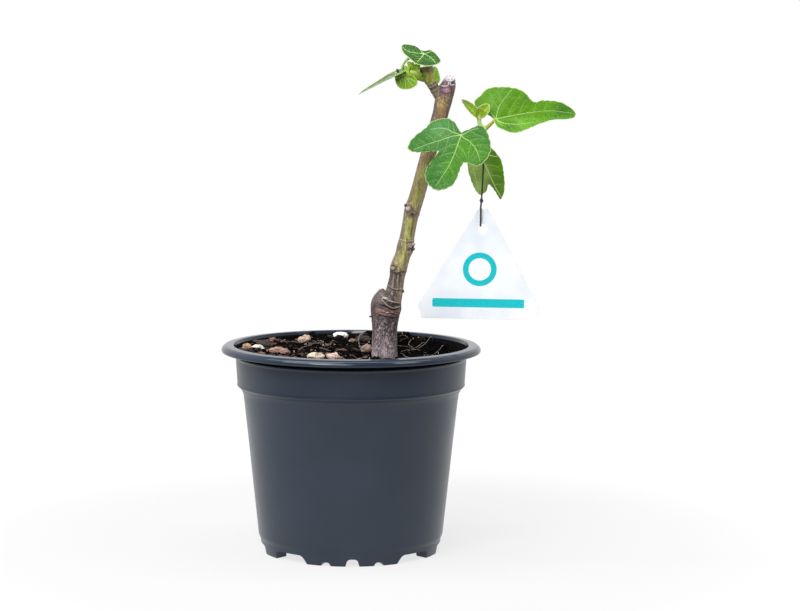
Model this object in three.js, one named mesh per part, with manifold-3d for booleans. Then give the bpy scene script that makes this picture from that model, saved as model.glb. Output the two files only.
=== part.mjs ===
// A young fig tree, grown from a cutting, in a round plastic nursery pot.
//
// Millimetres, +Z up. The origin is the middle of the pot's foot, on the surface it stands on,
// +X is to the right as the plant is seen from its front and -Y points to the viewer.

import * as THREE from "three";
import { mergeVertices } from "three/addons/utils/BufferGeometryUtils.js";
import Module from "manifold-3d";

const wasm = await Module();
wasm.setup();

// ---------------------------------------------------------------- driving dimensions

const GAP = 0.3; // clearance between neighbouring pieces

const POT_HEIGHT = 112;
const RIM_RADIUS = 70;
const RIM_EDGE = 1.2; // rounding of the rim's outer edge
const CREST_RADIUS = 64.6; // middle of the rim's raised crest
const CREST_HALF = 1.2;
const CREST_FALL = 1.1; // the crest's slopes start this far down
const RIM_UNDERSIDE = 106.4;
const COLLAR_TOP_RADIUS = 62.4;
const COLLAR_FOOT_RADIUS = 60.9;
const COLLAR_FOOT = 90.4;
const WALL_SWELL = [[57.9, 83.4], [58.9, 87.2]]; // radius and height where it bends to the collar
const WALL_TOP = 79;
const WALL_TOP_RADIUS = 57.5;
const WALL_FOOT = 11;
const WALL_FOOT_RADIUS = 50.2;
const FOOT_SHOULDER = [[49, 6.4], [50, 8.8]];
const FOOT_RADIUS = 48.3;
const FOOT_DEPTH = 7.3;
const WALL = 1.2;
const FLOOR_UNDERSIDE = 4.6;
const FLOOR_TOP = 6;
const CENTRE_FOOT_RADIUS = 12;
const DRAFT = 0.6; // how much an upright face of the foot leans
const POT_SIDES = 64;

const ARCH_TURN = 2.3; // the ring of foot arches is turned this many degrees to the right
const ARCHES = [
  // azimuth from the front, width at the ground, width at the top, height
  { azimuth: 0, ground: 7.4, top: 4.4, height: 4.3 },
  { azimuth: 18.3, ground: 5.4, top: 3.8, height: 2.2 },
  { azimuth: -18.3, ground: 5.4, top: 3.8, height: 2.2 },
  { azimuth: 48.6, ground: 27.8, top: 18, height: FLOOR_UNDERSIDE },
  { azimuth: -48.6, ground: 27.8, top: 18, height: FLOOR_UNDERSIDE },
  { azimuth: 90, ground: 18.4, top: 17, height: FLOOR_UNDERSIDE },
];
const ARCH_OVERCUT = 3;
const DRAIN_RADIUS = 4;
const DRAIN_SIDES = 20;
const DRAIN_RING = 33;
const DRAINS = 8;

// The soil's surface: it is level round the trunk, and rises or falls over each stretch named.
const SOIL_LEVEL = 103.4;
const SOIL_BACK = { rise: 5, from: 10, to: 55 };
const SOIL_BACK_RIGHT = { share: 0.5, from: 15, to: 50 }; // part of that rise lost at the right
const SOIL_LEFT = { rise: 3, from: 30, to: 58 };
const SOIL_RIGHT = { rise: -2.4, from: 24, to: 55 };
const SOIL_CRUMB = { height: 0.5, pace: [0.41, 0.37], start: [0.9, -0.4] };
const SOIL_RINGS = 7;
const SOIL_SIDES = 40;

// Stones and bark chips on the soil: place of the middle, half sizes, turn about Z in degrees.
const CHIP_DENT = 0.14; // a corner is pushed in by up to this share
const CHIPS = [
  { name: "stone_tan_left", at: [-57, 9, 108.4], half: [2.3, 2, 1.9], turn: 20 },
  { name: "bark_left", at: [-48.5, 22, 107.9], half: [5.4, 3, 2.9], turn: -25 },
  { name: "stone_cream_left", at: [-58.6, 2.4, 107.4], half: [1.5, 1.4, 1.2], turn: 0 },
  { name: "stone_white_left", at: [-51.5, 10.5, 106.8], half: [3.4, 2.4, 1.9], turn: 12 },
  { name: "bark_red_left", at: [-40.5, 12, 105.9], half: [7.4, 3.4, 2.2], turn: -6 },
  { name: "stone_grey", at: [-27, 41, 108.9], half: [3.7, 3, 2.6], turn: 30 },
  { name: "stone_white_back", at: [-7, 52, 110], half: [4.5, 3, 2], turn: -4 },
  { name: "clod_back", at: [-7.4, 45, 107.8], half: [5, 3.6, 2.8], turn: 8 },
  { name: "stone_tan_front", at: [-19.3, -2, 105], half: [4.4, 3, 2], turn: 5 },
  { name: "stone_pink", at: [-9.5, -3, 105], half: [3.6, 2.6, 2], turn: -18 },
  { name: "bark_red_back", at: [5.5, 45, 108.6], half: [4.8, 2.6, 2.2], turn: 14 },
  { name: "stone_tan_back", at: [8, 25, 105.7], half: [3.1, 2.8, 2.5], turn: 40 },
  { name: "stone_cream_right", at: [24, -4, 104.1], half: [1.5, 1.3, 1], turn: 0 },
  { name: "bark_front", at: [-34, -27, 104.2], half: [6, 3, 1.9], turn: 35 },
  { name: "stone_white_front", at: [6, -35, 104.2], half: [3.4, 2.8, 2], turn: -30 },
  { name: "stone_tan_right", at: [38, -24, 102.6], half: [3, 2.6, 2], turn: 15 },
];

// Sides and steps of each kind of limb.
const STUB_MESH = [16, 14];
const SHOOT_MESH = [14, 38];
const BOUGH_MESH = [12, 8];
const STALK_MESH = [8, 8];
const STRAND_MESH = [8, 12];
const LOOP_MESH = [8, 24];

// Limbs: stations of [x, y, z, radius] from the root to the tip.
const STUB = [
  [18.1, 2.5, 103.7, 7],
  [18, 2.4, 111, 6.75],
  [18, 2.3, 120.3, 6.75],
  [18.3, 2, 128.5, 7.8],
  [18.7, 2, 133, 8.2],
  [19.4, 2, 136.6, 7.4],
  [20.2, 2, 138.8, 5.4],
  [20.6, 2, 139.6, 2.6],
];
const SHOOT = [
  [20.8, 2, 134, 5.4],
  [22.6, 2, 139, 5],
  [23.7, 2, 143.2, 4.35],
  [24.6, 2, 148.6, 4.15],
  [25.4, 1.8, 153.3, 4.65],
  [27.4, 1.7, 159.5, 4.2],
  [28.9, 1.6, 164.2, 4.6],
  [29.9, 1.5, 170.3, 3.9],
  [31.4, 1.4, 179, 3.95],
  [32.6, 1.3, 184.6, 4.35],
  [34.4, 1.2, 189.8, 4.15],
  [36.8, 1, 198.4, 4.1],
  [39, 0.8, 207, 4.1],
  [43.2, 0.5, 222, 4.15],
  [47, 0.3, 234.8, 4.2],
  [48.4, 0.2, 241.2, 4.5],
  [50, 0.1, 247.6, 4.6],
  [51.5, 0, 251.4, 3.9],
  [52.2, 0, 254.6, 2.7],
  [52.6, 0, 256.6, 1],
];
// The scars where leaves once sat on the shoot: middle and half sizes.
const SCARS = [
  { at: [26.8, 1.2, 141.6], half: [1.9, 2.4, 1.8] },
  { at: [22.9, 0.2, 153], half: [2.3, 2.6, 2.6] },
  { at: [31.1, 0.8, 164.4], half: [2.4, 2.6, 2.4] },
  { at: [30.6, 0.2, 184.8], half: [2.3, 2.8, 2.8] },
];
const BOUGH_LEFT = [
  [47.4, 0, 244.4, 3],
  [43.6, -1, 250.2, 2.7],
  [41.6, -1.6, 253.6, 2.8],
  [40.1, -2, 256.4, 3.3],
  [39.4, -2.4, 261, 3.2],
];
const BOUGH_RIGHT = [
  [44.5, 0, 219.5, 2.7],
  [50, -2, 221.4, 2.4],
  [57, -5, 222.8, 2.2],
  [64, -8, 225, 2],
  [69.6, -9.5, 227.4, 1.8],
];

// Leaf blades. "at" is where the main veins meet, "tip" the end of the middle lobe and "face" the
// way the upper side looks. The rim is a smooth line through [degrees from the middle lobe,
// reach]. "cup" lifts the whole rim, "fold" bends the halves up along the middle vein, "droop"
// lets the tip hang.
const LEAF_THICKNESS = 0.6;
const LARGE_LEAF_POINTS = 44; // corners of a rim
const SMALL_LEAF_POINTS = 26;
const LARGE_LEAF_RINGS = [0, 0.4, 0.75, 1]; // shares of the reach
const SMALL_LEAF_RINGS = [0, 0.55, 1];
const FRONT_LEAF = {
  points: LARGE_LEAF_POINTS,
  at: [58, -18, 225.3],
  tip: [43.7, -25, 197.2],
  face: [-0.1, -1, 0.3],
  cup: 0.05,
  fold: 0,
  droop: 0.08,
  rim: [
    [-140, 2], [-127, 7.5], [-114, 12], [-91, 17], [-75, 19.6], [-60, 26], [-50, 29],
    [-43, 25.4], [-33, 16.4], [-26, 15.8], [-19, 26], [-10, 30.8], [3, 32], [17, 27],
    [26, 17.2], [35, 15.2], [57, 19.3], [86, 18], [118, 14.2], [142, 11.4], [155, 4.5],
  ],
};
const RIGHT_LEAF = {
  points: LARGE_LEAF_POINTS,
  at: [76.5, -9, 233.6],
  tip: [119, -2, 235.5],
  face: [0.05, -1, 0.55],
  cup: 0,
  fold: 0.3,
  droop: 0.06,
  rim: [
    [152, 2.5], [143, 13.6], [122, 14.4], [98, 16.3], [72, 17.2], [48, 20.4], [32, 21.8],
    [21, 23.2], [18, 29.5], [11, 38.5], [3, 44.2], [-1, 41], [-2, 32], [-12, 22.6],
    [-27, 17.5], [-50, 13], [-83, 6.2], [-125, 2.2],
  ],
};
const HANGING_LEAF = {
  points: LARGE_LEAF_POINTS,
  at: [66, 3, 219.4],
  tip: [80.3, 6, 190.3],
  face: [0.1, -1, 0.1],
  cup: 0,
  fold: -0.35,
  droop: 0,
  rim: [
    [-130, 2.2], [-75, 4.5], [-52, 8.6], [-38, 14.6], [-26, 22.8], [-19, 27.2], [-12, 26],
    [-6, 22.8], [-2, 27.5], [0, 32.7], [9, 28.7], [20, 22.4], [34, 17.1], [50, 10.4], [80, 4.6],
  ],
};
const TOP_LEAF = {
  points: SMALL_LEAF_POINTS,
  at: [38.4, -6, 267.7],
  tip: [34.5, -18, 262.2],
  face: [0.1, -0.55, 1],
  cup: 0,
  fold: -0.1,
  droop: 0.1,
  rim: [
    [-172, 3.4], [160, 6], [109, 7], [76, 10.2], [52, 11.2], [28, 12], [0, 11.8], [-24, 10.2],
    [-64, 10.3], [-95, 12.8], [-114, 15.4], [-124, 13], [-133, 9.5], [-140, 5],
  ],
};
const SMALL_LEAF = {
  points: SMALL_LEAF_POINTS,
  at: [27.4, -7.2, 256.6],
  tip: [29.3, -8, 248.7],
  face: [-0.1, -1, -0.1],
  cup: 0.1,
  fold: 0,
  droop: 0,
  rim: [
    [-150, 1.4], [-106, 4.2], [-64, 5.4], [-34, 7], [-8, 7.7], [22, 8.6], [46, 9], [66, 6.4],
    [110, 2.4],
  ],
};
const LONG_LEAF = {
  points: SMALL_LEAF_POINTS,
  at: [26.2, -5.6, 258],
  tip: [3.3, -4, 247.2],
  face: [-0.46, -0.14, 0.9],
  cup: 0,
  fold: 0.12,
  droop: 0.04,
  rim: [
    [170, 1.6], [130, 4.6], [96, 6.2], [62, 8.4], [40, 10.8], [24, 13.6], [11, 19.4], [0, 25.8],
    [-11, 19.4], [-24, 13.6], [-40, 10.8], [-62, 8.4], [-96, 6.2], [-130, 4.6],
  ],
};
const BACK_LEAF = {
  points: SMALL_LEAF_POINTS,
  at: [43, 4.4, 254],
  tip: [44.6, 11.4, 261],
  face: [1, 0.1, -0.2],
  cup: 0.05,
  fold: 0.1,
  droop: 0,
  rim: [[170, 1.2], [120, 3], [75, 4.2], [40, 5.8], [0, 9.6], [-40, 5.8], [-75, 4.2], [-120, 3]],
};
const TIP_LEAF_LEFT = {
  points: SMALL_LEAF_POINTS,
  at: [67.5, -10.2, 234.6],
  tip: [57.9, -11, 243.4],
  face: [0.5, -0.8, 0.6],
  cup: 0,
  fold: 0.5,
  droop: -0.06,
  rim: [[180, 0.8], [80, 1.4], [30, 3.6], [13, 8.4], [0, 13.2], [-13, 8.4], [-30, 3.6], [-80, 1.4]],
};
const TIP_LEAF_RIGHT = {
  points: SMALL_LEAF_POINTS,
  at: [67.7, -10.2, 234.8],
  tip: [73, -10, 241],
  face: [-0.35, -1, 0.2],
  cup: 0,
  fold: 0.35,
  droop: 0,
  rim: [[180, 0.8], [95, 2], [45, 4.8], [18, 7.4], [0, 8.3], [-25, 6.2], [-60, 3.2], [-110, 1.2]],
};

// Leaf stalks and soft shoots, as limbs.
const FRONT_STALK = [[60, -6.8, 223.9, 1], [59.8, -12, 224.4, 0.9], [58, -18, 225.3, 0.8]];
const HANGING_STALK = [[61.8, -6.6, 224.2, 1], [63, -1, 222.8, 0.9], [66, 3, 219.4, 0.8]];
const RIGHT_STALK = [[69.4, -9.5, 227.2, 1.5], [73.2, -9.7, 230.4, 1], [76.5, -9, 233.6, 0.8]];
const RIGHT_SHOOT = [[70.6, -9.7, 228.1, 1.4], [68, -10.3, 231, 1.2], [67.6, -10.2, 235.4, 1.1]];
const LEFT_SHOOT = [[38, -3, 254.6, 1.7], [32.5, -5, 255.7, 1.5], [26.4, -6.6, 258, 1.2]];
const LEFT_BUD = [
  [35, -4, 255.4, 2.2],
  [33.4, -4.6, 259.6, 2.4],
  [32.4, -5, 263.4, 1.4],
  [32, -5, 265.4, 0.4],
];
const TOP_STALK = [
  [26.8, -6.5, 257.8, 0.9],
  [26.9, -6.4, 261, 0.7],
  [28.8, -6, 264.4, 0.7],
  [33, -5.8, 266.4, 0.7],
  [38.4, -6, 267.6, 0.8],
];
const BACK_STALK = [[34.6, -3.6, 255.6, 0.9], [37.2, 3.6, 254.6, 0.8], [43.4, 5, 254.4, 0.7]];
const LEFT_SCALE = { at: [24, -6.4, 259.2], half: [1.4, 1.1, 1.1] };

// The hanging label and its thread.
const TAG_HOLE = [70.1, -12, 175.3];
const TAG_HOLE_RADIUS = 3;
const TAG_THICKNESS = 1;
const TAG_TURN = 0.8; // degrees, right side down
const TAG_TOP = { half: 2.6, height: 10.7 }; // above the middle of the hole
const TAG_SHOULDER = { half: 32.3, drop: 41 }; // below it
const TAG_FOOT = { half: 29.9, drop: 48 };
const TAG_LEFT_SHIFT = 1.6; // the wide end sits this far left of the hole
const THREAD_RADIUS = 0.5;
const THREAD_RING = { at: [66.2, -8.6, 225.9], radius: 2.9, sides: 8, steps: 18 };
const THREAD_STRAND = [[67, -8.6, 223], [69.5, -10.6, 215], [70, -12, 208]];
const THREAD_KNOT = [69.2, -12, 190.4];
const THREAD_KNOT_HALF = [1, 1, 1.2];
const THREAD_LOOP_X = 68.8; // where the loop's two strands lie beside the label
const THREAD_LOOP_DEPTH = 1.5;
const THREAD_LOOP_BEND = 1.8; // height of the loop's turn through the hole
const TAG_CURVE = 16; // corners of the label's hole

// ---------------------------------------------------------------- tools

const vector = (list) => new THREE.Vector3(list[0], list[1], list[2]);
const radians = THREE.MathUtils.degToRad;

function seeded(seed) {
  let state = seed;
  return () => {
    state = (state * 1664525 + 1013904223) % 4294967296;
    return state / 4294967296;
  };
}

// A closed three.js geometry as a manifold-3d solid.
function solid(geometry, matrix = new THREE.Matrix4()) {
  const loose = geometry.index ? geometry.toNonIndexed() : geometry;
  const bare = new THREE.BufferGeometry();
  bare.setAttribute("position", loose.getAttribute("position").clone());
  bare.applyMatrix4(matrix);
  const merged = mergeVertices(bare, 1e-4);
  return new wasm.Manifold(
    new wasm.Mesh({
      numProp: 3,
      vertProperties: merged.getAttribute("position").array,
      triVerts: new Uint32Array(merged.index.array),
    }),
  );
}

const union = (list) => list.reduce((whole, piece) => whole.add(piece));

// The largest connected body of a solid, without the scraps that a cut leaves.
function largest(whole) {
  return whole.decompose().sort((a, b) => b.volume() - a.volume())[0];
}

function mesh(name, body, finish) {
  const made = body.getMesh();
  const geometry = new THREE.BufferGeometry();
  geometry.setAttribute("position", new THREE.BufferAttribute(made.vertProperties, 3));
  geometry.setIndex(new THREE.BufferAttribute(made.triVerts, 1));
  geometry.computeVertexNormals();
  const piece = new THREE.Mesh(geometry, new THREE.MeshStandardMaterial(finish));
  piece.name = name;
  return piece;
}

// A tapering round limb through stations, its radius and both ends grown by "grow".
function limb(stations, sides, steps, grow = 0) {
  const path = new THREE.CatmullRomCurve3(stations.map(vector), false, "catmullrom", 0.5);
  const girth = new THREE.CatmullRomCurve3(
    stations.map((station) => new THREE.Vector3(station[3], 0, 0)),
    false,
    "catmullrom",
    0.5,
  );
  const geometry = new THREE.CylinderGeometry(1, 1, 1, sides, steps);
  const position = geometry.getAttribute("position");
  const frames = [];
  let across = new THREE.Vector3(0, -1, 0);
  for (let step = 0; step <= steps; step++) {
    const t = step / steps;
    const along = path.getTangent(t);
    across = across.clone().addScaledVector(along, -across.dot(along)).normalize();
    const end = step === 0 ? -grow : step === steps ? grow : 0;
    frames.push({
      middle: path.getPoint(t).addScaledVector(along, end),
      across,
      other: along.clone().cross(across),
      radius: girth.getPoint(t).x + grow,
    });
  }
  for (let i = 0; i < position.count; i++) {
    const frame = frames[Math.round((position.getY(i) + 0.5) * steps)];
    const place = frame.middle
      .clone()
      .addScaledVector(frame.across, position.getX(i) * frame.radius)
      .addScaledVector(frame.other, -position.getZ(i) * frame.radius);
    position.setXYZ(i, place.x, place.y, place.z);
  }
  return solid(geometry);
}

function lump({ at, half }, detail = 1) {
  const matrix = new THREE.Matrix4().makeScale(...half).setPosition(...at);
  return solid(new THREE.IcosahedronGeometry(1, detail), matrix);
}

// A leaf blade: a thin lens whose rim follows the leaf's outline and whose sheet is bent.
function blade(leaf) {
  const points = leaf.points;
  const origin = vector(leaf.at);
  const along = vector(leaf.tip).sub(origin);
  const length = along.length();
  along.normalize();
  const across = vector(leaf.face).cross(along).normalize();
  const out = along.clone().cross(across);
  const rim = new THREE.CatmullRomCurve3(
    leaf.rim.map(([turn, reach]) => {
      const angle = radians(turn);
      return new THREE.Vector3(reach * Math.cos(angle), reach * Math.sin(angle), 0);
    }),
    true,
    "catmullrom",
    0.5,
  ).getPoints(points);
  const half = LEAF_THICKNESS / 2;
  const shares = points > SMALL_LEAF_POINTS ? LARGE_LEAF_RINGS : SMALL_LEAF_RINGS;
  const profile = [
    ...shares.map((share) => [share, -half]),
    ...shares.toReversed().map((share) => [share, half]),
  ];
  const geometry = new THREE.LatheGeometry(
    profile.map(([x, y]) => new THREE.Vector2(x, y)),
    points,
  );
  const position = geometry.getAttribute("position");
  for (let i = 0; i < position.count; i++) {
    const [share, side] = profile[i % profile.length];
    const edge = rim[Math.floor(i / profile.length) % points];
    const x = share * edge.x;
    const y = share * edge.y;
    const lift =
      (leaf.cup * (x * x + y * y)) / length +
      leaf.fold * (Math.hypot(y, 1) - 1) -
      (leaf.droop * x * Math.abs(x)) / length;
    const place = origin
      .clone()
      .addScaledVector(along, x)
      .addScaledVector(across, y)
      .addScaledVector(out, lift + side);
    position.setXYZ(i, place.x, place.y, place.z);
  }
  const made = solid(geometry);
  return made.volume() < 0 ? solid(reversed(geometry)) : made;
}

// The same geometry with every triangle turned round.
function reversed(geometry) {
  const turned = geometry.clone();
  const index = turned.index.array;
  for (let i = 0; i < index.length; i += 3) {
    [index[i + 1], index[i + 2]] = [index[i + 2], index[i + 1]];
  }
  return turned;
}

// ---------------------------------------------------------------- pot

const potInner = (outer) => outer - WALL;

function pot() {
  const outer = [
    [FOOT_RADIUS, 0],
    ...FOOT_SHOULDER,
    [WALL_TOP_RADIUS, WALL_TOP],
    ...WALL_SWELL,
    [COLLAR_FOOT_RADIUS, COLLAR_FOOT],
    [COLLAR_TOP_RADIUS, RIM_UNDERSIDE - RIM_EDGE],
    [COLLAR_TOP_RADIUS + RIM_EDGE / 2, RIM_UNDERSIDE],
    [RIM_RADIUS - RIM_EDGE, RIM_UNDERSIDE],
    [RIM_RADIUS, RIM_UNDERSIDE + RIM_EDGE],
    [RIM_RADIUS, RIM_UNDERSIDE + 2 * RIM_EDGE],
    [CREST_RADIUS + 2 * CREST_HALF, POT_HEIGHT - CREST_FALL],
    [CREST_RADIUS + CREST_HALF / 2, POT_HEIGHT],
    [CREST_RADIUS - CREST_HALF / 2, POT_HEIGHT],
    [CREST_RADIUS - CREST_HALF, POT_HEIGHT - CREST_FALL],
  ];
  const inner = [
    [potInner(COLLAR_TOP_RADIUS), RIM_UNDERSIDE - RIM_EDGE],
    [potInner(COLLAR_FOOT_RADIUS), COLLAR_FOOT],
    [potInner(WALL_SWELL[1][0]), WALL_SWELL[1][1]],
    [potInner(WALL_TOP_RADIUS), WALL_TOP],
    [potInner(WALL_FOOT_RADIUS), WALL_FOOT],
    [potInner(FOOT_RADIUS), FLOOR_TOP],
    [0, FLOOR_TOP],
  ];
  const underside = [
    [0, 0],
    [CENTRE_FOOT_RADIUS, 0],
    [CENTRE_FOOT_RADIUS + DRAFT, FLOOR_UNDERSIDE],
    [FOOT_RADIUS - FOOT_DEPTH - DRAFT, FLOOR_UNDERSIDE],
    [FOOT_RADIUS - FOOT_DEPTH, 0],
  ];
  const profile = [...underside, ...outer, ...inner].map(([r, z]) => new THREE.Vector2(r, z));
  const upright = new THREE.Matrix4().makeRotationX(Math.PI / 2);
  let body = solid(new THREE.LatheGeometry(profile, POT_SIDES), upright);
  for (const arch of ARCHES) {
    for (const side of [0, 180]) {
      body = body.subtract(archCutter(arch, arch.azimuth + side + ARCH_TURN));
    }
  }
  for (let i = 0; i < DRAINS; i++) {
    const angle = radians((i * 360) / DRAINS + ARCH_TURN);
    const drain = new THREE.CylinderGeometry(DRAIN_RADIUS, DRAIN_RADIUS, 3 * FLOOR_TOP, DRAIN_SIDES);
    const place = upright.clone();
    place.setPosition(DRAIN_RING * Math.sin(angle), -DRAIN_RING * Math.cos(angle), 0);
    body = body.subtract(solid(drain, place));
  }
  return body;
}

// A wedge that cuts one arch through the ring of feet, pointing out from the pot's middle.
function archCutter({ ground, top, height }, azimuth) {
  const shape = new THREE.Shape();
  shape.moveTo(-ground / 2, -ARCH_OVERCUT);
  shape.lineTo(ground / 2, -ARCH_OVERCUT);
  shape.lineTo(ground / 2, 0);
  shape.lineTo(top / 2, height);
  shape.lineTo(-top / 2, height);
  shape.lineTo(-ground / 2, 0);
  shape.closePath();
  const reach = FOOT_DEPTH + 2 * ARCH_OVERCUT;
  const geometry = new THREE.ExtrudeGeometry(shape, { depth: reach, bevelEnabled: false });
  geometry.translate(0, 0, FOOT_RADIUS + ARCH_OVERCUT - reach);
  geometry.rotateX(Math.PI / 2);
  geometry.rotateZ(radians(azimuth));
  return solid(geometry);
}

// ---------------------------------------------------------------- soil and what lies on it

const stretch = (value, { from, to }) => THREE.MathUtils.smoothstep(value, from, to);

function soilHeight(x, y) {
  const back = SOIL_BACK.rise * stretch(y, SOIL_BACK);
  const backRight = 1 - SOIL_BACK_RIGHT.share * stretch(x, SOIL_BACK_RIGHT);
  const left = SOIL_LEFT.rise * stretch(-x, SOIL_LEFT);
  const right = SOIL_RIGHT.rise * stretch(x, SOIL_RIGHT);
  const { height, pace, start } = SOIL_CRUMB;
  const crumb = height * Math.sin(pace[0] * x + start[0]) * Math.cos(pace[1] * y + start[1]);
  return SOIL_LEVEL + back * backRight + left + right + crumb;
}

function soil() {
  const reach = (outer) => potInner(outer) - 2 * GAP;
  const edge = reach(COLLAR_TOP_RADIUS);
  const profile = [
    [0, FLOOR_TOP + GAP],
    [reach(FOOT_RADIUS), FLOOR_TOP + GAP],
    [reach(WALL_FOOT_RADIUS), WALL_FOOT + GAP],
    [reach(WALL_TOP_RADIUS), WALL_TOP + GAP],
    [reach(WALL_SWELL[1][0]), WALL_SWELL[1][1] + GAP],
    [reach(COLLAR_FOOT_RADIUS), COLLAR_FOOT + GAP],
  ];
  const walls = profile.length;
  for (let ring = SOIL_RINGS; ring >= 0; ring--) {
    profile.push([(edge * ring) / SOIL_RINGS, SOIL_LEVEL]);
  }
  const geometry = new THREE.LatheGeometry(
    profile.map(([r, z]) => new THREE.Vector2(r, z)),
    SOIL_SIDES,
  );
  geometry.rotateX(Math.PI / 2);
  const position = geometry.getAttribute("position");
  for (let i = 0; i < position.count; i++) {
    if (i % profile.length >= walls) {
      position.setZ(i, soilHeight(position.getX(i), position.getY(i)));
    }
  }
  return solid(geometry);
}

// An uneven chip: a round body whose corners are pushed in and out by its own seed.
function chipGeometry(half, seed, grow = 0) {
  const random = seeded(seed);
  const geometry = new THREE.IcosahedronGeometry(1, 1);
  const merged = mergeVertices(
    new THREE.BufferGeometry().setAttribute("position", geometry.getAttribute("position")),
    1e-4,
  );
  const position = merged.getAttribute("position");
  for (let i = 0; i < position.count; i++) {
    const push = 1 - CHIP_DENT * random();
    const corner = new THREE.Vector3().fromBufferAttribute(position, i).multiplyScalar(push);
    const size = half.map((value) => value + grow);
    position.setXYZ(i, corner.x * size[0], corner.y * size[1], corner.z * size[2]);
  }
  return merged;
}

const chipMatrix = ({ at, turn }) =>
  new THREE.Matrix4().makeRotationZ(radians(turn)).setPosition(...at);

// ---------------------------------------------------------------- label and thread

function tagShape() {
  const shape = new THREE.Shape();
  shape.moveTo(-TAG_TOP.half, TAG_TOP.height);
  shape.lineTo(-TAG_SHOULDER.half - TAG_LEFT_SHIFT, -TAG_SHOULDER.drop);
  shape.lineTo(-TAG_FOOT.half - TAG_LEFT_SHIFT, -TAG_FOOT.drop);
  shape.lineTo(TAG_FOOT.half - TAG_LEFT_SHIFT, -TAG_FOOT.drop);
  shape.lineTo(TAG_SHOULDER.half - TAG_LEFT_SHIFT, -TAG_SHOULDER.drop);
  shape.lineTo(TAG_TOP.half, TAG_TOP.height);
  shape.closePath();
  shape.holes.push(new THREE.Path().absarc(0, 0, TAG_HOLE_RADIUS, 0, 2 * Math.PI, true));
  return shape;
}

function tag() {
  const geometry = new THREE.ExtrudeGeometry(tagShape(), {
    depth: TAG_THICKNESS,
    bevelEnabled: false,
    curveSegments: TAG_CURVE,
  });
  geometry.translate(0, 0, -TAG_THICKNESS / 2);
  geometry.rotateX(Math.PI / 2);
  return solid(geometry);
}

function thread() {
  const { at, radius, sides, steps } = THREAD_RING;
  const ring = new THREE.TorusGeometry(radius, THREAD_RADIUS, sides, steps);
  const last = BOUGH_RIGHT.length - 1;
  const along = vector(BOUGH_RIGHT[last]).sub(vector(BOUGH_RIGHT[last - 2])).normalize();
  const turn = new THREE.Quaternion().setFromUnitVectors(new THREE.Vector3(0, 0, 1), along);
  const ringPlace = new THREE.Matrix4().makeRotationFromQuaternion(turn).setPosition(...at);
  const r = THREAD_RADIUS;
  const strand = limb([...THREAD_STRAND, THREAD_KNOT].map((place) => [...place, r]), ...STRAND_MESH);
  const [holeX, holeY, holeZ] = TAG_HOLE;
  const loopX = THREAD_LOOP_X;
  const depth = THREAD_LOOP_DEPTH;
  const holeEdge = holeZ + Math.sqrt(TAG_HOLE_RADIUS ** 2 - (holeX - loopX) ** 2);
  const through = holeEdge - r - GAP;
  const loop = limb(
    [
      [...THREAD_KNOT, r],
      [loopX, holeY - depth, holeZ + TAG_TOP.height, r],
      [loopX, holeY - depth, through + THREAD_LOOP_BEND, r],
      [loopX, holeY, through, r],
      [loopX, holeY + depth, through + THREAD_LOOP_BEND, r],
      [loopX, holeY + depth, holeZ + TAG_TOP.height, r],
      [...THREAD_KNOT, r],
    ],
    ...LOOP_MESH,
  );
  const knots = [THREAD_KNOT, THREAD_STRAND[0]].map((place) =>
    lump({ at: place, half: THREAD_KNOT_HALF }),
  );
  return union([solid(ring, ringPlace), strand, loop, ...knots]);
}

// ---------------------------------------------------------------- plant

const trunkLimbs = (grow) =>
  union([limb(STUB, ...STUB_MESH, grow), limb(SHOOT, ...SHOOT_MESH, grow)]);
const trunk = union([trunkLimbs(0), ...SCARS.map((scar) => lump(scar))]);
const trunkRoom = union([
  trunkLimbs(GAP),
  ...SCARS.map(({ at, half }) => lump({ at, half: half.map((value) => value + GAP) })),
]);
const bough = (stations, grow = 0) => limb(stations, ...BOUGH_MESH, grow);
const boughLeft = largest(bough(BOUGH_LEFT).subtract(trunkRoom));
const boughRight = largest(bough(BOUGH_RIGHT).subtract(trunkRoom));
const limbRoom = union([trunkRoom, bough(BOUGH_LEFT, GAP), bough(BOUGH_RIGHT, GAP)]);

function foliage(stems, leaves, buds = []) {
  const pieces = [
    ...stems.map((stations) => limb(stations, ...STALK_MESH)),
    ...leaves.map((leaf) => blade(leaf)),
    ...buds.map((bud) => lump(bud)),
  ];
  return largest(union(pieces).subtract(limbRoom));
}

// ---------------------------------------------------------------- assembly

const PLASTIC = { color: 0x3c434b, roughness: 0.38, metalness: 0 };
const PEAT = { color: 0x241d18, roughness: 1, metalness: 0 };
const CHIP_FINISHES = {
  stone: { color: 0xc9b795, roughness: 0.9, metalness: 0 },
  bark: { color: 0x7a4433, roughness: 0.85, metalness: 0 },
  clod: { color: 0x201a16, roughness: 1, metalness: 0 },
};
const BARK = { color: 0x7c6c4c, roughness: 0.7, metalness: 0 };
const GREEN_BARK = { color: 0x76803c, roughness: 0.6, metalness: 0 };
const LEAF_GREEN = { color: 0x5fa338, roughness: 0.5, metalness: 0 };
const CARD = { color: 0xf4f4fa, roughness: 0.4, metalness: 0 };
const BLACK_THREAD = { color: 0x17171a, roughness: 0.8, metalness: 0 };

const fig = new THREE.Group();
fig.add(mesh("pot", pot(), PLASTIC));

let bed = soil().subtract(trunkRoom);
CHIPS.forEach((chip, index) => {
  bed = bed.subtract(solid(chipGeometry(chip.half, index + 1, GAP), chipMatrix(chip)));
  const kind = CHIP_FINISHES[chip.name.split("_")[0]];
  const piece = mesh(chip.name, solid(chipGeometry(chip.half, index + 1)), kind);
  piece.position.set(...chip.at);
  piece.rotation.z = radians(chip.turn);
  fig.add(piece);
});
fig.add(mesh("soil", largest(bed), PEAT));

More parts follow.
